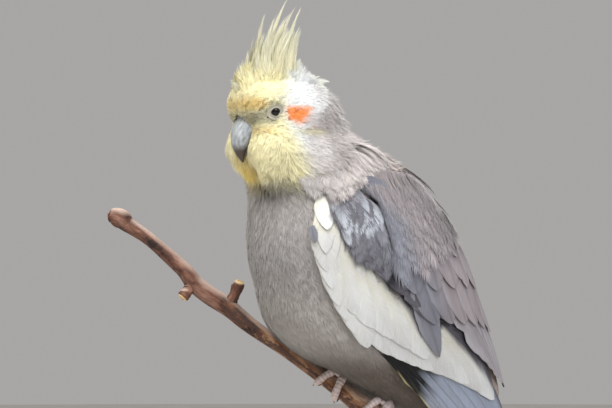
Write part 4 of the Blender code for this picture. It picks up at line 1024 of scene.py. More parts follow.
# Rows of vanes: roots and tips as t and phi, count, half width, lift at root and tip, how pointed, kind.
WING_TIERS = (
    (((48, 123), (58, 112), (70, 84)), ((125, 72), (150, 46), (172, 28), (160, 20), (132, 15)),
     10, 5.2, -1.1, -0.9, 0.9, "primary"),
    (((28, 112), (36, 110), (43, 105), (50, 96), (58, 88), (64, 78)),
     ((64, 114), (71, 104), (78, 92), (84, 81), (92, 67), (102, 48)), 9, 7.0, -0.3, 0.4, 0.45, "white"),
    (((14, 114), (24, 112), (34, 106), (46, 97)), ((44, 121), (54, 114), (63, 104), (72, 94)),
     5, 7.0, 0.1, 0.7, 0.4, "white"),
    (((6, 117), (12, 118), (22, 117), (34, 116)), ((25, 127), (36, 128), (46, 127), (57, 124)),
     6, 5.6, 0.2, 0.8, 0.5, "white"),
    (((0.5, 113), (3, 115)), ((12, 118), (19, 124)), 2, 4.0, -0.6, 1.1, 0.5, "white"),
    (((8.5, 127),), ((14, 128),), 1, 1.5, 0.9, 1.8, 0.5, "scapular"),
    (((36, 76), (28, 36)), ((89, 44), (99, 32), (103, 14)), 6, 6.2, 0.2, 1.3, 0.5, "tertial"),
    (((27, 92), (32, 84)), ((47, 91), (59, 84)), 3, 5.4, 0.6, 1.7, 0.3, "covert"),
    (((44, 84),), ((74, 87),), 1, 5.0, 0.6, 1.2, 0.7, "scapular"),
    (((13, 102), (16, 92)), ((29, 102), (45, 93)), 4, 4.8, 0.0, 2.0, 0.25, "covert"),
    (((24, 78), (34, 26)), ((62, 82), (80, 28)), 6, 6.4, 0.6, 1.9, 0.4, "scapular"),
    (((8, 70), (24, 26)), ((48, 87), (62, 34)), 5, 6.6, -0.2, 2.3, 0.35, "scapular"),
    (((4, 68), (12, 34)), ((32, 84), (46, 48)), 4, 6.2, -2.0, 2.6, 0.35, "scapular"),
)
FRONT_PRIMARY_SHADE = 0.95
PRIMARY_SHADE = 0.1
PRIMARY_STEP = 0.07
WHITE_TEARS = 0.3
# The wing's core under its vanes: where it starts down the wing, its length, depth and thickness.
CORE_START = 2.0
CORE_LENGTH = 103.0
CORE_SUNK = 1.1
CORE_THICKNESS = 0.8


def ragged(sizes, tears):
    """Half widths of one edge of a vane, a little uneven and with a few short splits."""
    edge = sizes * RNG.normal(1, 0.025, len(sizes))
    for _ in range(RNG.poisson(tears)):
        edge[RNG.integers(5, len(sizes) - 2)] *= RNG.uniform(0.72, 0.92)
    return edge


def vane_grid(length, half, pointed, tears):
    """Shares from root to tip, closer together towards the tip, and a vane's grid of places across."""
    places = np.sin(np.linspace(0, 1, VANE_ROWS) * math.pi / 2) ** 1.15
    stretch = np.clip(half * (1.1 + 2.6 * pointed) / length, 0.05, 0.6)
    into_tip = np.clip((places - 1 + stretch) / stretch, 0, 1)
    round_tip = np.sqrt(np.clip(1 - into_tip ** 2.2, 0, 1))
    sharp_tip = np.clip(1 - into_tip ** 1.25, 0, 1) ** 0.9
    ends = np.maximum(round_tip * (1 - pointed) + sharp_tip * pointed, 0.03)
    sizes = half * np.interp(places, (0, 0.35, 0.7), (0.5, 0.92, 1.0)) * ends
    back, front = ragged(sizes, tears), ragged(sizes, tears)
    return places, np.where(VANE_SHARES < 0, back[:, None], front[:, None]) * VANE_SHARES


def wing_vane(root, tip, half, low, high, pointed, hand, tears):
    """The points of a feather on the wing, with their t and phi, places across and shares along."""
    places, across = vane_grid(tip[0] - root[0], half, pointed, tears)
    t = root[0] + (tip[0] - root[0]) * places
    phi = root[1] + (tip[1] - root[1]) * places
    beside = wing_point(t, phi + 1.0, 0.0) - wing_point(t, phi, 0.0)
    per_degree = np.maximum(np.linalg.norm(beside, axis=-1), 0.1)
    slope = np.gradient(phi) * per_degree / np.gradient(t)
    lean = np.hypot(1.0, slope)
    grid_t = t[:, None] - (slope / lean)[:, None] * across
    grid_phi = phi[:, None] + across / (per_degree * lean)[:, None]
    lift = wing_outer(grid_t, grid_phi) + (low + (high - low) * places)[:, None]
    lift += VANE_TILT * VANE_SHARES + VANE_RELIEF
    return wing_point(grid_t, grid_phi, lift, hand), grid_t, grid_phi, across, places


def paint_vane(kind, t, phi, share, place, shade):
    """The colours over a vane, from its shares across and along: its tone, shaft and edges, with a painted
    sheen on the edges, painted shade down the white patch and painted shade in the groove by the scapulars.
    """
    if kind == "primary":
        colour = layered(
            PLUMAGE["primary"],
            ("flight", smooth_step(t - 77 - 0.75 * (phi - 96), -0.6, 0.6)),
            ("edge", smooth_step(share, 0.84, 0.95) * smooth_step(t, 67, 71) * shade),
            ("primary", smooth_step(-share, 0.35, 0.8) * 0.7))
    elif kind == "white":
        white = smooth_step(phi - np.interp(t, *WHITE_INNER), -1.5, 2.5) * smooth_step(t, 0, 3)
        colour = layered(PLUMAGE["covert"], ("white", white),
                         ("cream", smooth_step(0.9 - place, 0, 0.9) * 0.45 * white))
        # Painted shade: the white patch darkens down the wing, away from the light above.
        colour = colour * (1.0 - 0.2 * smooth_step(t, 4, 18) - 0.06 * smooth_step(t, 40, 90))[..., None]
    else:
        brown = 0.8 * (kind == "scapular") * smooth_step(82 - phi, 0, 20)
        # The edges are paler, with a painted bluish sheen.
        colour = layered(PLUMAGE[kind] * shade, ("brown", brown),
                         ("sheen", 0.3 * smooth_step(np.abs(share), 0.6, 1.0)))
        colour = colour * (1 - 0.22 * np.exp(-(share / 0.07) ** 2))[..., None]
        # Painted shade in the groove where the scapulars overlap the coverts, over the feathers' darker
        # bases.
        gap = np.abs(phi - np.interp(t, *GAP_LINE) - 0.5)
        gap_shade = smooth_step(3.6 - gap, 0, 1.4) * smooth_step(t, 0, 6) * smooth_step(46 - t, 0, 8)
        colour = layered(colour, ("primary", 0.9 * gap_shade))
    return colour


def set_vanes(name, vanes, nodes):
    """Joins vanes in one piece with a thickness, each with its own island in the bake map."""
    side = math.ceil(math.sqrt(len(vanes)))
    rows, across = vanes[0][0].shape[:2]
    corner = np.add.outer(np.arange(rows - 1) * across, np.arange(across - 1)).reshape(-1, 1)
    quads = corner + [0, 1, across + 1, across]
    points, faces, bake, chart, colours = [], [], [], [], []
    for index, (spots, wide, along, colour) in enumerate(vanes):
        reach = max(np.ptp(along), 2 * np.abs(wide).max()) * 1.1
        cell = np.array([index % side, index // side]) + 0.5
        island = np.stack([wide, np.broadcast_to(along[:, None], wide.shape) - np.ptp(along) / 2], axis=-1)
        points.append(spots.reshape(-1, 3))
        faces.append(quads + index * rows * across)
        bake.append(((cell + island / reach) / side).reshape(-1, 2))
        chart.append((island + [0.0, VANE_CHART_STEP * index]).reshape(-1, 2) * MM)
        colours.append(colour.reshape(-1, 3))
    maps = {"OFBake": np.concatenate(bake), "vane": np.concatenate(chart)}
    made = make_piece(name, np.concatenate(points), [np.concatenate(faces)], VANES, nodes,
                      maps, np.concatenate(colours))
    thick = made.modifiers.new("thickness", "SOLIDIFY")
    thick.thickness = VANE_THICKNESS * MM
    thick.offset = -1.0
    thick.use_even_offset = False


def lay_wing_vanes(name, hand):
    """Every tier of a folded wing's vaned feathers."""
    vanes = []
    for roots, tips, count, half, low, high, pointed, kind in WING_TIERS:
        ends = zip(*(on_line(np.linspace(0, 1, count), line) for line in (roots, tips)))
        for index, (root, tip) in enumerate(ends):
            shade = RNG.uniform(0.94, 1.06)
            over = 0.0
            if kind == "primary":
                shade = PRIMARY_SHADE if index else FRONT_PRIMARY_SHADE
                over = PRIMARY_STEP * index
            tears = WHITE_TEARS if kind == "white" else 1.0
            spots, t, phi, across, places = wing_vane(root, tip, half, low + over, high + over, pointed,
                                                      hand, tears)
            colour = paint_vane(kind, t, phi, across / half, places[:, None], shade)
            vanes.append((spots, across, places * (tip[0] - root[0]), colour))
    set_vanes(f"{name}_vanes", vanes, (name,))


def lay_wing_core(name, hand):
    """The closed downy core of a wing under its vanes."""

    def mapping(rows, turns):
        t = CORE_START + CORE_LENGTH * rows
        dorsal, front = wing_edges(t)
        front = front - 16.0 * smooth_step(t, 44, 62)
        shrink = np.sqrt(np.clip(1 - (2 * rows - 1) ** 8, 0, 1))
        phi = (dorsal + front) / 2 - (front - dorsal) / 2 * shrink * np.cos(turns)
        lift = wing_outer(t, phi) - CORE_SUNK + CORE_THICKNESS / 2 * np.sin(turns) * shrink
        points = wing_point(t, phi, lift, hand)
        return points, points

    rounded(f"{name}_core", mapping, 60, 48, SKIN, tinted=True)


SMALL_COVERTS = 1150
MANTLE_FEATHERS = 420


def lay_wing_down(name, hand):
    """The soft small coverts and scapulars that cover the wing's shoulder."""
    count = SMALL_COVERTS
    t = RNG.uniform(-3, 34, count)
    dorsal, front = wing_edges(t)
    # The coverts keep off the white patch, also as far ahead as they reach.
    inner = np.minimum(*(np.interp(t + ahead, *WHITE_INNER) for ahead in (0, 9)))
    low, high = dorsal - 4.0, np.minimum(front - 4.0, inner - 3.0)
    phi = low + (high - low) * RNG.random(count)
    line = np.interp(t, *GAP_LINE)
    behind = smooth_step(line - phi, 0, 1) * smooth_step(t, -3, 3)
    keep = RNG.random(count) < np.clip((34 - t) / 18, 0, 1)
    t, phi, behind, line = keep_rows((t, phi, behind, line), keep)
    count = len(t)
    long = RNG.uniform(8, 11, count) + 4 * behind
    # Some small coverts carry a painted bluish-white sheen on their tips.
    sheen_flecks = (RNG.random(count) < 0.62) * (1 - behind) * smooth_step(t, -2, 2) * smooth_step(16 - t, 0, 6)
    half = RNG.uniform(2.3, 3.1, count) + 0.9 * behind - 1.1 * sheen_flecks
    turn = np.where(behind > 0.5, 0.25, 0.1) + RNG.normal(0, 0.05, count)
    shafts = []
    for share, lift in ((0.0, 0.3), (0.5, 1.5), (1.0, 2.0)):
        down, over = t + long * share, phi + turn * long * share * 2.0
        gap = np.interp(down, *GAP_LINE)
        clear = 1.6 * half + 2.5 * smooth_step(15 - down, 0, 4)
        over = np.where(behind > 0.5, np.minimum(over, gap - clear), np.maximum(over, gap + clear - 1))
        lift = lift + 1.3 * behind - (2.2 - share) * smooth_step(6 - t, 0, 8)
        shafts.append(wing_point(down, over, wing_outer(down, over) + lift, hand))
    tone = mix(PLUMAGE["covert"], PLUMAGE["scapular"], behind)
    tone = layered(tone, ("brown", behind * smooth_step(line - phi, 8, 24)),
                   ("lavender", 0.5 * smooth_step(0.5 - t, 0, 3)))
    tone = tone * RNG.normal(1, 0.05, (count, 1))
    # Roots a little darker with painted shade; tips with a painted sheen.
    tint = np.stack([tone * 0.95, layered(tone, ("sheen", 0.15 + 0.75 * sheen_flecks))], axis=1)
    chart = np.column_stack([0.5 + hand * phi / 500, 0.9 - t / 200])
    feathers = soft_feathers(np.stack(shafts, axis=1), wing_normal(t, phi, hand), half, tint, chart,
                             barbs=30, thread=0.46, loose=0.03, fluff=0.03)
    coat(f"{name}_down", feathers)


def lay_mantle(name, hand):
    """Shoulder feathers, whose tips fall over the wing's upper edge, and long ruffled back ones."""
    count = MANTLE_FEATHERS
    shoulder = np.arange(count) % 4 > 0

    def sizes(on_shoulder, on_back, extra=0.0):
        return np.where(shoulder, RNG.uniform(*on_shoulder, count) + extra, RNG.uniform(*on_back, count))

    t = sizes((-5, -0.5), (8, 24))
    phi = sizes((40, 118), (16, 62))
    high_back = shoulder * smooth_step(84 - phi, 0, 16)
    t = t - 5.0 * shoulder * smooth_step(phi, 95, 116) - 6.0 * high_back
    long = sizes((5, 7.5), (13, 19), 6.0 * high_back)
    lifts = sizes((0.0, 0.6), (0.4, 2.8))
    lifts = lifts - 1.6 * smooth_step(phi, 98, 116) - 0.8 * smooth_step(62 - phi, 0, 15)
    shafts = []
    for share, lift in ((0.0, -0.9), (0.5, 0.7), (1.0, 1.3)):
        down = t + long * share
        over = phi + RNG.normal(0, 0.4, count) + 4 * share
        shafts.append(wing_point(down, over, wing_outer(down, over) + lift + lifts * share ** 1.5, hand))
    root, middle, tip = shafts
    # The shoulder's feathers grow from the body and only their tips reach over the wing.
    on_body = shoulder[:, None]
    root = np.where(on_body, settle(root, -0.8), root)
    between = (root + tip) / 2
    middle = np.where(on_body, between + outward(between) * 0.9, middle)
    brown = mix(PLUMAGE["brown"], PLUMAGE["lavender"], 0.5 * RNG.random(count))
    pale = mix(PLUMAGE["grey"], PLUMAGE["lavender"], 0.25 + 0.5 * smooth_step(114 - phi, 0, 34))
    tone = np.where(on_body, pale, brown)
    # Painted shade: the back feathers darken towards their roots, under the ruffled feathers over them.
    tint = np.stack([tone * np.where(on_body, 1.0, 0.65), tone * RNG.uniform(0.95, 1.1, (count, 1))], axis=1)
    chart = np.column_stack([0.5 + hand * phi / 500, 0.97 - t / 200])
    half = RNG.uniform(2.0, 3.2, count)
    shafts = np.stack([root, middle, tip], axis=1)
    feathers = soft_feathers(shafts, wing_normal(t, phi, hand), half, tint, chart,
                             barbs=32, thread=0.3, loose=0.10, fluff=0.08, point=0.3)
    coat(f"{name}_mantle", feathers)


# The tail

TAIL_ROOT = np.array([0.0, 46.0, -9.0])
TAIL_PITCH = math.radians(66.5)
# Feathers in pairs: length, how far out, half width and lift.
TAIL_PAIRS = ((160, 1.6, 4.2, 1.9), (151, 2.8, 4.2, 1.3), (136, 4.0, 4.2, 0.7), (117, 5.2, 4.0, 0.1),
              (97, 6.2, 3.8, -0.5), (78, 7.0, 3.6, -1.1))
TAIL_COVERTS = ((56, 2.2, 3.8, 3.3), (46, 4.2, 3.6, 2.9), (36, 3.0, 4.0, 3.7), (28, 1.2, 3.8, 4.1),
                (58, 2.6, 4.0, -2.8), (44, 1.2, 3.8, -3.2), (34, 3.6, 3.6, -3.0))
TAIL_POINTED = 0.85
TAIL_TEARS = 1.5


def lay_tail():
    """The folded tail: long pointed feathers in pairs, with coverts over and under their roots."""
    _, dorsal, up_tail = pitched_axes(TAIL_PITCH)
    vanes = []
    for length, offset, half, lift in TAIL_PAIRS + TAIL_COVERTS:
        for side in (1, -1):
            places, across = vane_grid(length, half, TAIL_POINTED, TAIL_TEARS)
            across = across * np.interp(places, (0, 0.5), (0.5, 1.0))[:, None]
            middle = side * offset * np.clip(0.4 + places, 0, 1)
            height = (lift * np.clip(3 * places, 0.3, 1))[:, None] + VANE_RELIEF + 0.05 * side
            spots = (TAIL_ROOT + (middle[:, None] + across)[..., None] * SIDE + height[..., None] * dorsal
                     - (places * length)[:, None, None] * up_tail)
            if lift < 0:
                across, spots = -across[:, ::-1], spots[:, ::-1]
            share = across / half
            tone = mix(PLUMAGE["tail"], PLUMAGE["flight"], RNG.uniform(0.1, 0.5))
            # The edges are paler, with a painted bluish sheen.
            colour = layered(tone, ("sheen", 0.3 * smooth_step(np.abs(share), 0.6, 1.0)))
            vanes.append((spots, across, places * length, colour))
    set_vanes("tail_vanes", vanes, ("tail",))


# The crest and the crown

# Tips in the head's frame, forward and up; roots as shares of the way back and places forward.
CREST_TIPS = ((22.5, 14.0), (19.2, 20.5), (14.7, 25.0), (11.6, 30.0), (8.2, 38.5), (4.0, 37.5),
              (-2.7, 44.0), (-5.2, 40.7), (-2.8, 32.4), (-8.0, 40.5), (-7.6, 22.4), (-9.0, 17.5),
              (-15.6, 16.2), (-19.2, 14.0), (-20.5, 11.0))
CREST_ROOTS = ((0.0, 0.78, 1.0), (17.5, -6.0, -13.0))
CREST_EACH = 18
CROWN_FEATHERS = 900


def crown_points(side, forward, lift):
    """Points above the crown of the head."""
    start = head_place(side, forward, 0.0)
    up = np.broadcast_to(UP, start.shape)
    return start + up * (surface_reach(start, up) + lift)[..., None]


def lay_crest():
    """The erect crest: long narrow feathers with loose barbs, each among shorter softer ones."""
    blades = np.repeat(np.arange(len(CREST_TIPS)), CREST_EACH)
    count = len(blades)
    main = np.arange(count) % CREST_EACH == 0
    place = np.clip(blades / (len(CREST_TIPS) - 1) + np.where(main, 0, RNG.normal(0, 0.05, count)), 0, 1)
    breadth = np.interp(place, (0, 0.3, 0.75, 1), (3.0, 4.0, 2.6, 6.5)) * np.where(main, 0.4, 1.0)
    side = RNG.uniform(-1, 1, count) * breadth
    ahead = np.interp(place, *CREST_ROOTS) + RNG.normal(0, 0.8, count)
    tips = np.array(CREST_TIPS)[blades] + RNG.normal(0, 1, (count, 2)) * np.where(main, 0.1, 1.6)[:, None]
    roots = crown_points(side, ahead, -1.0)
    goal = head_place(side * 0.75 + RNG.normal(0, 0.6, count), tips[:, 0], tips[:, 1])
    reach = np.where(main, 1.0, 0.28 + 0.52 * RNG.random(count) ** 1.8)
    way = (goal - roots) * reach[:, None]
    bow = np.cross(HEAD_AXES[0], way) * 0.10
    bow *= np.sign(np.sum(bow * HEAD_AXES[1], axis=-1, keepdims=True))
    shafts = np.stack([roots, roots + way / 2 + bow, roots + way], axis=1)
    across = unit(np.cross(way, HEAD_AXES[1]))
    normals = unit(HEAD_AXES[0] + RNG.normal(0, 0.35, roots.shape) * across + HEAD_AXES[1] * 0.1)
    normals = square_to(normals, unit(way))
    half = np.where(main, RNG.uniform(1.1, 1.5, count), RNG.uniform(1.6, 2.5, count) * (1.15 - 0.5 * reach))
    white = smooth_step(place, 0.64, 0.8)
    tint = np.stack([layered(PLUMAGE["yellow"], ("gold", 0.06), ("white", 0.7 * white)),
                     layered(PLUMAGE["yellow"], ("crest", 0.9), ("white", 0.6 * white))], axis=1)
    chart = np.column_stack([np.linspace(0.1, 0.9, count), np.full(count, 0.98)])
    point = np.where(main, 0.65, 0.3)[:, None]
    feathers = soft_feathers(shafts, normals, half, tint, chart,
                             barbs=40, thread=0.26, loose=0.08, fluff=0.10, point=point)
    coat("crest_coat", feathers, ("crest",))


def lay_crown():
    """Feathers of the forehead and crown that sweep up into the foot of the crest."""
    ahead = RNG.uniform(-6.0, 19.5, CROWN_FEATHERS)
    side = RNG.normal(0, 1.0, CROWN_FEATHERS) * np.interp(ahead, (-8, 0, 12, 19.5), (4.5, 6.5, 6.5, 4.0))
    roots = crown_points(side, ahead, -0.8)
    ahead, side, roots = keep_rows((ahead, side, roots), in_head(roots)[2] > 7.5)
    count = len(ahead)
    close = np.exp(-(side / 4.5) ** 2)
    back = np.interp(ahead, (-8, 0, 10, 19.5), (1.2, 0.75, 0.45, -0.05))
    rise = unit(UP * (0.35 + 1.1 * close)[:, None] - HEAD_AXES[1] * back[:, None]
                - HEAD_AXES[0] * (0.05 * side)[:, None] + RNG.normal(0, 0.10, roots.shape))
    longer = np.interp(ahead, (-6, 3, 19.5), (0.1, 0.8, 0.6))
    long = RNG.uniform(4.0, 7.0, count) + 7.5 * close * RNG.random(count) * longer
    middle = roots + unit(rise - HEAD_AXES[1] * 0.12) * (long / 2)[:, None]
    tips = middle + unit(rise + HEAD_AXES[1] * 0.1) * (long / 2)[:, None]
    facing = unit(np.sign(side + 0.01)[:, None] * HEAD_AXES[0] + RNG.normal(0, 0.25, roots.shape))
    facing = square_to(facing, unit(tips - roots))
    low = plumage(roots)
    tint = np.stack([low, layered(low, ("yellow", 0.3 * smooth_step(ahead, -4, 4)))], axis=1)
    chart = np.column_stack([0.5 + side / 60, 0.9 + ahead / 250])
    half = RNG.uniform(1.2, 1.8, count)
    feathers = soft_feathers(np.stack([roots, middle, tips], axis=1), facing, half, tint, chart,
                             barbs=16, thread=0.22, loose=0.15, fluff=0.15)
    coat("crown_coat", feathers)


# Bill, eyes and lids

# Stations along each half of the bill: forward and up in the head's frame, half width and height.
UPPER_BEAK = ((10.0, -1.2, 5.9, 5.2), (14.4, -2.6, 6.1, 5.2), (17.3, -5.6, 5.3, 4.3),
              (18.6, -9.0, 3.8, 2.9), (18.4, -12.2, 2.1, 1.5), (17.4, -14.9, 0.5, 0.35))
LOWER_BEAK = ((8.5, -10.8, 3.6, 1.8), (11.5, -11.4, 3.5, 1.9), (14.4, -12.2, 2.4, 1.2))
BILL_POINTS = 60
BILL_CAP = 0.06
BILL_RIDGE = 0.25
CERE_PLACE = (2.2, 15.6, 1.3)
CERE_SIZES = (2.7, 2.3, 1.5)
NOSTRIL_PLACE = (2.5, 17.1, 2.1)
NOSTRIL_SIZES = (0.75, 0.9, 0.62)

EYE_RADIUS = 3.2
EYE_PROUD = 1.1
EYE_LOOK = math.radians(13.0)
# The lids' opening and ring, as degrees from the eye's middle: across, over and under it.
OPENING_ACROSS = 32.0
OPENING_OVER = 24.0
OPENING_UNDER = 29.0
OPENING_TILT = 0.25
OPENING_ROUNDNESS = 1.7
RING_ACROSS = 11.5
RING_TALL = 9.0
LID_TURNS = 72
LID_FOLD = 0.10
# Share of the way from the opening to the ring's rim, and the lift over the eyeball there.
LID_SECTION = ((0.0, -0.15), (0.02, 0.06), (0.12, 0.2), (0.3, 0.27), (0.55, 0.22), (0.8, 0.18), (1.1, 0.26),
               (1.4, 0.5), (1.8, 0.95))


def bill_mapping(stations, ridge):
    """A hooked half of the bill, with a blunt ridge along its outer curve."""
    curve = smooth_line([(*head_place(0, *station[:2]), *station[2:]) for station in stations], BILL_POINTS)
    line = curve[:, :3]
    base = tube_mapping(line, curve[:, 3], curve[:, 4], HEAD_AXES[0], BILL_CAP)

    def mapping(rows, turns):
        points, grain = base(rows, turns)
        middle = on_line(np.clip((rows - BILL_CAP) / (1 - 2 * BILL_CAP), 0, 1), line)
        keel = ridge * np.exp(-(((turns + math.pi) % FULL_TURN - math.pi) / 0.35) ** 2)
        return points + unit(points - middle) * (keel * smooth_step(rows, 0.05, 0.3))[..., None], grain

    return mapping


def lay_bill():
    """The two halves of the bill."""
    horn = horn_finish()
    rounded("bill_upper", bill_mapping(UPPER_BEAK, BILL_RIDGE), 60, 56, horn, ("beak_upper",))
    rounded("bill_lower", bill_mapping(LOWER_BEAK, 0.0), 40, 40, horn, ("beak_lower",))


def lay_cere():
    """The cere in two low swellings over the bill's root, with a nostril in each."""
    cere, pit = cere_finish(), pit_finish()
    for side in (-1, 1):
        # Each nostril is a small dark patch of painted shadow on its swelling.
        for name, (out, forward, up), sizes, rounds, around, material in (
                ("cere", CERE_PLACE, CERE_SIZES, 24, 28, cere),
                ("nostril", NOSTRIL_PLACE, NOSTRIL_SIZES, 14, 18, pit)):
            mapping = ball_mapping(head_place(side * out, forward, up), HEAD_AXES * np.array(sizes)[:, None])
            rounded(f"{name}_{side + 2}", mapping, rounds, around, material)


def lay_eye(name, side, eye_material, lid_material):
    """An eyeball with its ring of lids, the upper one half lowered, looking a little back."""
    start = head_place(0.0, *EYE_PLACE)
    way = side * HEAD_AXES[0]
    point = start + way * surface_reach(start[None], way[None])[0]
    out = outward(point[None])[0]
    ahead = square_to(HEAD_AXES[1], out)
    up = square_to(square_to(UP, out), ahead)
    centre = point - out * (EYE_RADIUS - EYE_PROUD)
    out, ahead = (out * math.cos(EYE_LOOK) - ahead * math.sin(EYE_LOOK),
                  ahead * math.cos(EYE_LOOK) + out * math.sin(EYE_LOOK))
    ball = ball_mapping(centre, EYE_RADIUS * np.array([ahead, up, out]))
    rounded(name, ball, 40, 48, eye_material, (name,))

    turns = np.linspace(0, FULL_TURN, LID_TURNS, endpoint=False)
    wide, tall = np.cos(turns + OPENING_TILT), np.sin(turns + OPENING_TILT)
    boxed = np.abs(wide) ** OPENING_ROUNDNESS + np.abs(tall) ** OPENING_ROUNDNESS
    almond = boxed ** (-1 / OPENING_ROUNDNESS)
    opening = almond * np.hypot(OPENING_ACROSS * wide, np.where(tall > 0, OPENING_OVER, OPENING_UNDER) * tall)
    ring = np.hypot(RING_ACROSS * wide, RING_TALL * tall)
    shell = bmesh.new()
    bmesh.ops.create_grid(shell, x_segments=LID_TURNS, y_segments=len(LID_SECTION) - 1, size=0.5)
    for vertex in shell.verts:
        step = round((vertex.co.x + 0.5) * LID_TURNS) % LID_TURNS
        share, lift = LID_SECTION[round((vertex.co.y + 0.5) * (len(LID_SECTION) - 1))]
        lean = math.radians(opening[step] + ring[step] * share)
        radius = EYE_RADIUS + lift + LID_FOLD * math.sin(share * 19) * max(1 - share, 0.0)
        round_way = math.cos(turns[step]) * ahead + math.sin(turns[step]) * up
        vertex.co = place(centre + radius * (math.cos(lean) * out + math.sin(lean) * round_way))
    bmesh.ops.remove_doubles(shell, verts=shell.verts, dist=0.00001)
    bmesh.ops.recalc_face_normals(shell, faces=shell.faces)
    made = object_of_shell(shell, f"lids_{name}", lid_material)
    if np.array(made.data.polygons[0].normal) @ out < 0:
        made.data.flip_normals()
    attach(made)


# Feet and feathered legs

# The solids of each foot and leg, the bird's side that they are on, and their place on the branch.
FEET = (("foot_right", "leg_right", -1, -2.5), ("foot_left", "leg_left", 1, 13.5))
# Toes: +1 for the front, spread along the branch, how far round it in degrees, thickness.
TOES = ((1, -4.2, 155, 1.5), (1, 3.6, 165, 1.6), (-1, -3.6, 150, 1.4), (-1, 3.4, 160, 1.5))
TOE_POINTS = 40
TOE_START = -8.0
TOE_JOINTS = 3.2
CLAW_FROM = 0.80
BARK_ROOM = 0.1
SHANK_LENGTH = 4.4
SHANK_RADIUS = 1.8
# The sole: how high its middle lies over the bark, then its half length, width and height.
PAD_THICK = 1.2
SOLE_LONG = 2.86
SOLE_WIDE = 2.9
SOLE_HIGH = 1.3
SOLE_POINTS = 9
HIP_PLACE = (12.5, 9.0, 20.0)
LEG_SIZES = (6.5, 7.0, 5.6, 3.8, 2.4)
LEG_POINTS = 40
LEG_SKIN_DEPTH = 1.2
LEG_FEATHERS = 420


def toe_line(along, turn, spread, reach, lift):
    """A toe's middle line, from over the branch round its side; turn is +1 for the front."""
    middle, way, front, up, radius = branch_frame(along)
    shares = np.linspace(0, 1, TOE_POINTS)
    angles = np.radians(TOE_START + (reach - TOE_START) * shares)[:, None]
    out = np.sin(angles) * turn * front + np.cos(angles) * up
    return middle + out * (radius + GAP + lift + BARK_ROOM) + way * spread * shares[:, None]


def shank_line(side, along):
    """The sole's middle over the branch, the ankle, the hip and the way up to it."""
    middle, _, _, up, radius = branch_frame(along)
    pad = middle + up * (radius + GAP + PAD_THICK + BARK_ROOM)
    hip = np.array(HIP_PLACE) * (side, 1, 1)
    way = unit(hip - pad)
    return pad, pad + way * SHANK_LENGTH, hip, way


def lay_foot(foot, side, along, skin, horn):
    """A gripping foot: two toes forward and two back, plump between the joints, each with a claw."""
    _, way, front, _, _ = branch_frame(along)
    shares = np.linspace(0, 1, TOE_POINTS)
    last = int(TOE_POINTS * (CLAW_FROM + 0.03))
    for toe, (turn, spread, reach, thick) in enumerate(TOES, 1):
        line = toe_line(along + spread * 0.25, turn, spread, reach, thick)
        joints = 1 + 0.07 * np.cos(shares * FULL_TURN * TOE_JOINTS)
        sizes = thick * np.interp(shares, (0, 0.75, CLAW_FROM + 0.04), (1.0, 0.82, 0.5)) * joints
        rounded(f"{foot}_toe_{toe}", tube_mapping(line[:last], sizes[:last], sizes[:last], way, 0.08),
                44, 20, skin, (foot,) if toe == 1 else ())
        claw = line[int(TOE_POINTS * CLAW_FROM) - 2:]
        taper = np.linspace(0.74, 0.1, len(claw))
        rounded(f"{foot}_claw_{toe}", tube_mapping(claw, taper * 0.8, taper, way, 0.05),
                24, 14, horn)
    pad, ankle, _, up_leg = shank_line(side, along)
    sole = pad + np.outer(np.linspace(-SOLE_LONG, SOLE_LONG, SOLE_POINTS), front)
    sizes = np.sqrt(1 - np.linspace(-0.8, 0.8, SOLE_POINTS) ** 2)
    rounded(f"{foot}_sole", tube_mapping(sole, SOLE_WIDE * sizes, SOLE_HIGH * sizes, way), 28, 28, skin)
    shank = np.linspace(pad, ankle + up_leg * 1.5, 8)
    rounded(f"{foot}_shank", tube_mapping(shank, SHANK_RADIUS, SHANK_RADIUS, SIDE), 28, 24, skin)


def lay_leg(leg, side, along):
    """The feathered leg over the shank: downy skin with soft feathers that hang over the foot."""
    _, ankle, hip, way = shank_line(side, along)
    line = np.linspace(hip, ankle + way * GAP, LEG_POINTS)
    sizes = smooth_line(np.array(LEG_SIZES)[:, None], LEG_POINTS)[:, 0]
    inner = tube_mapping(line, sizes - LEG_SKIN_DEPTH, sizes - LEG_SKIN_DEPTH, SIDE)
    rounded(f"{leg}_skin", inner, 30, 24, SKIN, (leg,), tinted=True)
    rows = RNG.uniform(0.15, 0.9, LEG_FEATHERS)
    turns = RNG.uniform(0, FULL_TURN, LEG_FEATHERS)
    outer = tube_mapping(line, sizes, sizes, SIDE)
    roots, ahead, beside = (outer(np.clip(rows + down, 0, 1), turns + around)[0]
                            for down, around in ((0, 0), (0.02, 0), (0, 0.05)))
    normals = unit(np.cross(beside - roots, ahead - roots))
    from_hip = roots - hip
    from_line = from_hip - np.multiply.outer(from_hip @ way, way)
    normals *= np.sign(np.sum(normals * from_line, axis=-1, keepdims=True))
    flow = unit(ahead - roots + RNG.normal(0, 0.05, roots.shape))
    long = RNG.uniform(4.5, 6.5, LEG_FEATHERS)[:, None]
    tips = roots + flow * long + normals * 0.3
    shafts = np.stack([roots - normals * 0.8, roots + flow * long / 2, tips], axis=1)
    tint = np.stack([plumage(roots)] * 2, axis=1)
    chart = bake_places(turns, 0.02 + 0.04 * rows)
    half = np.full(LEG_FEATHERS, 1.9)
    feathers = keep_rows((shafts, normals, half, tint, chart), clear_of_branch(shafts, 0.4))
    coat(f"{leg}_coat", soft_feathers(*feathers, barbs=14, thread=0.28))


# The branch

# Cut side twigs: place along the branch, the way out as the camera sees it, length and radius.
STUBS = ((-53.5, (-0.62, -0.75, 0.25), 6.6, 2.2), (-41.0, (0.40, 0.88, 0.30), 10.6, 2.1))
BARK_POINTS = 170
BARK_BENDS = 0.16
BARK_CAP = 0.02
STUB_CAP = 0.05
STUB_POINTS = 20
FURROWS = 6
FURROW_DEPTH = 0.16
FURROW_SEEDS = 8
BARK_ACROSS = UP * 0.9 + SIDE * 0.3


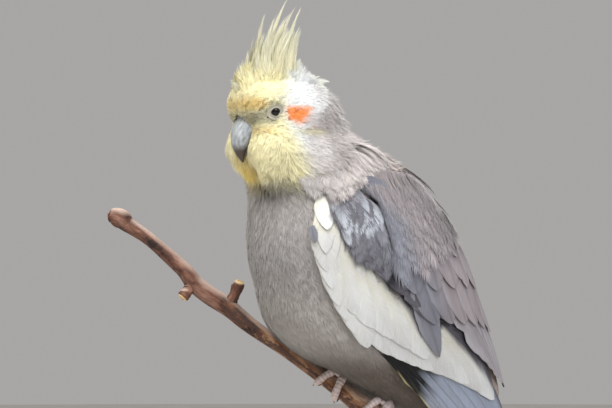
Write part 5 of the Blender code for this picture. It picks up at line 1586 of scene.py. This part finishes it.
def rough_line(line, radii, amount):
    """A line and its radii with the small bends and swellings of a grown twig."""
    places = np.linspace(0, 1, len(line))
    knots = np.linspace(0, 1, max(len(line) // 7, 4))
    ends = smooth_step(places, 0, 0.05) * smooth_step(1 - places, 0, 0.05)
    shift = np.stack([smooth_interp(places, knots, RNG.normal(0, amount, len(knots))) for _ in range(3)],
                     axis=-1)
    swell = smooth_interp(places, knots, RNG.normal(0, amount * 0.5, len(knots)))
    return line + shift * ends[:, None], radii + swell * ends


def bark_mapping(line, radii, cap):
    """A twig's surface with shallow furrows along it."""
    base = tube_mapping(line, radii, radii, BARK_ACROSS, cap, 0.35)
    seeds = RNG.uniform(0, 6, FURROW_SEEDS)

    def mapping(rows, turns):
        points, grain = base(rows, turns)
        across, _ = base(rows, turns + math.pi)
        away = unit(points - (points + across) / 2 + 1e-9)
        waves = (np.sin(turns * (step + 2) + seeds[step] + rows * (9 + 7 * step)) * FURROW_DEPTH / (step + 1)
                 for step in range(FURROWS))
        inside = smooth_step(rows, cap, cap * 3) * smooth_step(1 - rows, cap, cap * 3)
        return points + away * (sum(waves) * inside)[..., None], grain

    return mapping


def lay_branch():
    """The grown branch with its knob, a bulge at each side twig, and the cut twigs."""
    bark, cut = bark_finish(), cut_wood_finish()
    grown = bark_mapping(*rough_line(*branch_line(BARK_POINTS), BARK_BENDS), BARK_CAP)
    rounded("branch_bark", grown, 260, 40, bark, ("perch",))
    for index, (along, way, length, radius) in enumerate(STUBS, 1):
        middle = branch_frame(along)[0]
        ahead = way[0] * VIEW_RIGHT + way[1] * UP + way[2] * VIEW_NEAR
        twig = middle + np.outer(np.linspace(0, length - 0.4, STUB_POINTS), ahead)
        sizes = radius * np.interp(np.linspace(0, 1, STUB_POINTS), (0, 0.3, 0.6, 1), (1.35, 1.08, 0.98, 1.02))
        rounded(f"cut_twig_{index}", bark_mapping(twig, sizes, STUB_CAP), 50, 30, bark)
        end = middle + ahead * (length - 0.9) + np.outer((0.0, 1.15), unit(ahead))
        rounded(f"cut_end_{index}", tube_mapping(end, radius * 0.8, radius * 0.8, BARK_ACROSS, 0.35, 0.3),
                16, 30, cut)


# The display stand

BASE_RADIUS = 76.0
BASE_HEIGHT = 10.0
# The base's section from its underside to its top: inwards from the rim, and height over the
# floor or, for the second row, under the top. The top's middle is a small disc under the collar.
BASE_MIDDLE = 6.0
BASE_FOOT = ((BASE_RADIUS, 0.0), (1.0, 0.0), (0.3, 0.3), (0.0, 1.0))
BASE_EDGE = ((0.0, 3.2), (0.25, 2.2), (0.9, 1.2), (1.9, 0.45), (3.2, 0.1), (4.5, 0.0),
             (BASE_RADIUS - BASE_MIDDLE, 0.0), (BASE_RADIUS, 0.0))
ROD_PLACE = 5.5
ROD_RADIUS = 2.2
COLLAR_RADIUS = 3.1
COLLAR_HEIGHT = 2.2


def turned(name, profile, centre, segments, material, nodes):
    """A turned piece: a profile of radii and heights spun about an upright axis."""
    shell = bmesh.new()
    points = [shell.verts.new((radius * MM, 0, height * MM)) for radius, height in profile]
    edges = [shell.edges.new(pair) for pair in zip(points, points[1:])]
    bmesh.ops.spin(shell, geom=points + edges, axis=(0, 0, 1), cent=(0, 0, 0), dvec=(0, 0, 0),
                   angle=FULL_TURN, steps=segments, use_merge=True)
    bmesh.ops.remove_doubles(shell, verts=shell.verts, dist=0.000001)
    bmesh.ops.translate(shell, verts=shell.verts, vec=place(centre))
    bmesh.ops.recalc_face_normals(shell, faces=shell.faces)
    attach(object_of_shell(shell, name, material), nodes)


def lay_stand():
    """A turned round base, and a plain rod with a low collar up to the branch."""
    base = ([(BASE_RADIUS - inwards, height) for inwards, height in BASE_FOOT]
            + [(BASE_RADIUS - inwards, BASE_HEIGHT - under) for inwards, under in BASE_EDGE])
    turned("turned_base", base, (0.0, -ORIGIN_SHIFT[1], -FLOOR_DROP), 160, stained_wood_finish(),
           ("stand_base",))
    middle, _, _, _, radius = branch_frame(ROD_PLACE)
    low = BASE_HEIGHT - FLOOR_DROP - 1.0
    high = middle[2] - radius * 0.4
    rod = ((0.0, low), (COLLAR_RADIUS, low), (COLLAR_RADIUS, low + COLLAR_HEIGHT),
           (COLLAR_RADIUS - 0.3, low + COLLAR_HEIGHT + 0.4), (ROD_RADIUS, low + COLLAR_HEIGHT + 0.5),
           (ROD_RADIUS, high), (0.0, high))
    turned("steel_rod", rod, (middle[0], middle[1], 0.0), 48, steel_finish(), ("stand_rod",))


# Camera, light and floor

CAMERA_DISTANCE = 1600.0
CAMERA_RISE = math.radians(2.5)
AIM_ACROSS = -0.00773
AIM_UP = 0.04113
LENS = 259.1
SENSOR = 36.0
LIGHT_TARGET = np.array([0.0, 0.0, 0.22])
FLOOR_RADIUS = 3.4
SURROUND_STRENGTH = 0.44
# Azimuth from the camera's side and rise in degrees, distance and size in metres, power, colour.
LIGHTS = (
    ("key", 30, 66, 1.6, 0.9, 34, "#FFFCF6"),
    ("fill", -60, 30, 1.9, 1.4, 5, "#F2F5FF"),
    ("side", -36, 24, 1.4, 0.45, 6.5, "#F7F8FF"),
)


def way_to(azimuth, rise):
    """The direction at an azimuth round the bird and a rise over the floor."""
    return np.array([math.sin(azimuth) * math.cos(rise), -math.cos(azimuth) * math.cos(rise), math.sin(rise)])


def set_camera():
    """The photograph's viewpoint: level with the bird, 63 degrees round its left side."""
    camera = bpy.data.objects.new("camera", bpy.data.cameras.new("camera"))
    bpy.context.scene.collection.objects.link(camera)
    back = way_to(VIEW_AZIMUTH, CAMERA_RISE)
    forward = unit(-back + VIEW_RIGHT * AIM_ACROSS + np.cross(back, VIEW_RIGHT) * AIM_UP)
    right = unit(np.cross(forward, UP))
    turned_view = np.eye(4)
    spot = place(back * CAMERA_DISTANCE)
    turned_view[:3] = np.column_stack([right, np.cross(right, forward), -forward, spot])
    camera.matrix_world = Matrix(turned_view.tolist())
    camera.data.lens = LENS
    camera.data.sensor_width = SENSOR
    bpy.context.scene.camera = camera


def add_light(name, azimuth, rise, distance, size, power, colour):
    """A square soft light aimed at the bird."""
    light = bpy.data.lights.new(name, "AREA")
    light.size = size
    light.energy = power
    light.color = linear(colour)
    lamp = bpy.data.objects.new(name, light)
    bpy.context.scene.collection.objects.link(lamp)
    away = way_to(VIEW_AZIMUTH - math.radians(azimuth), math.radians(rise))
    lamp.location = LIGHT_TARGET + away * distance
    lamp.rotation_euler = Vector(away).to_track_quat("Z", "Y").to_euler()


def set_studio():
    """A pale floor, an even pale surround, a large soft key from the upper left and two low lights."""
    world = bpy.data.worlds.new("studio")
    bpy.context.scene.world = world
    world.use_nodes = True
    surround = world.node_tree.nodes["Background"]
    surround.inputs["Color"].default_value = (*linear("#F2F0EE"), 1.0)
    surround.inputs["Strength"].default_value = SURROUND_STRENGTH
    for light in LIGHTS:
        add_light(*light)
    shell = bmesh.new()
    bmesh.ops.create_circle(shell, cap_ends=True, segments=96, radius=FLOOR_RADIUS)
    object_of_shell(shell, "studio_floor", floor_finish())


# The whole model, laid in the order of its random draws

BARBS, SKIN, VANES = down_finish(), skin_finish(), vane_finish()
lay_skin()
lay_body()
lay_head()
for wing, hand in (("wing_left", 1), ("wing_right", -1)):
    lay_wing_vanes(wing, hand)
    lay_wing_down(wing, hand)
    lay_mantle(wing, hand)
    lay_wing_core(wing, hand)
lay_tail()
lay_crest()
lay_crown()
lay_bill()
lay_cere()
wet_eye, lid_skin = eye_finish(), lid_finish()
lay_eye("eye_left", 1, wet_eye, lid_skin)
lay_eye("eye_right", -1, wet_eye, lid_skin)
foot_skin, claw_horn = foot_finish(), claw_finish()
for foot, leg, side, along in FEET:
    lay_foot(foot, side, along, foot_skin, claw_horn)
    lay_leg(leg, side, along)
lay_branch()
lay_stand()
set_camera()
set_studio()
bpy.context.scene.view_settings.view_transform = "Standard"
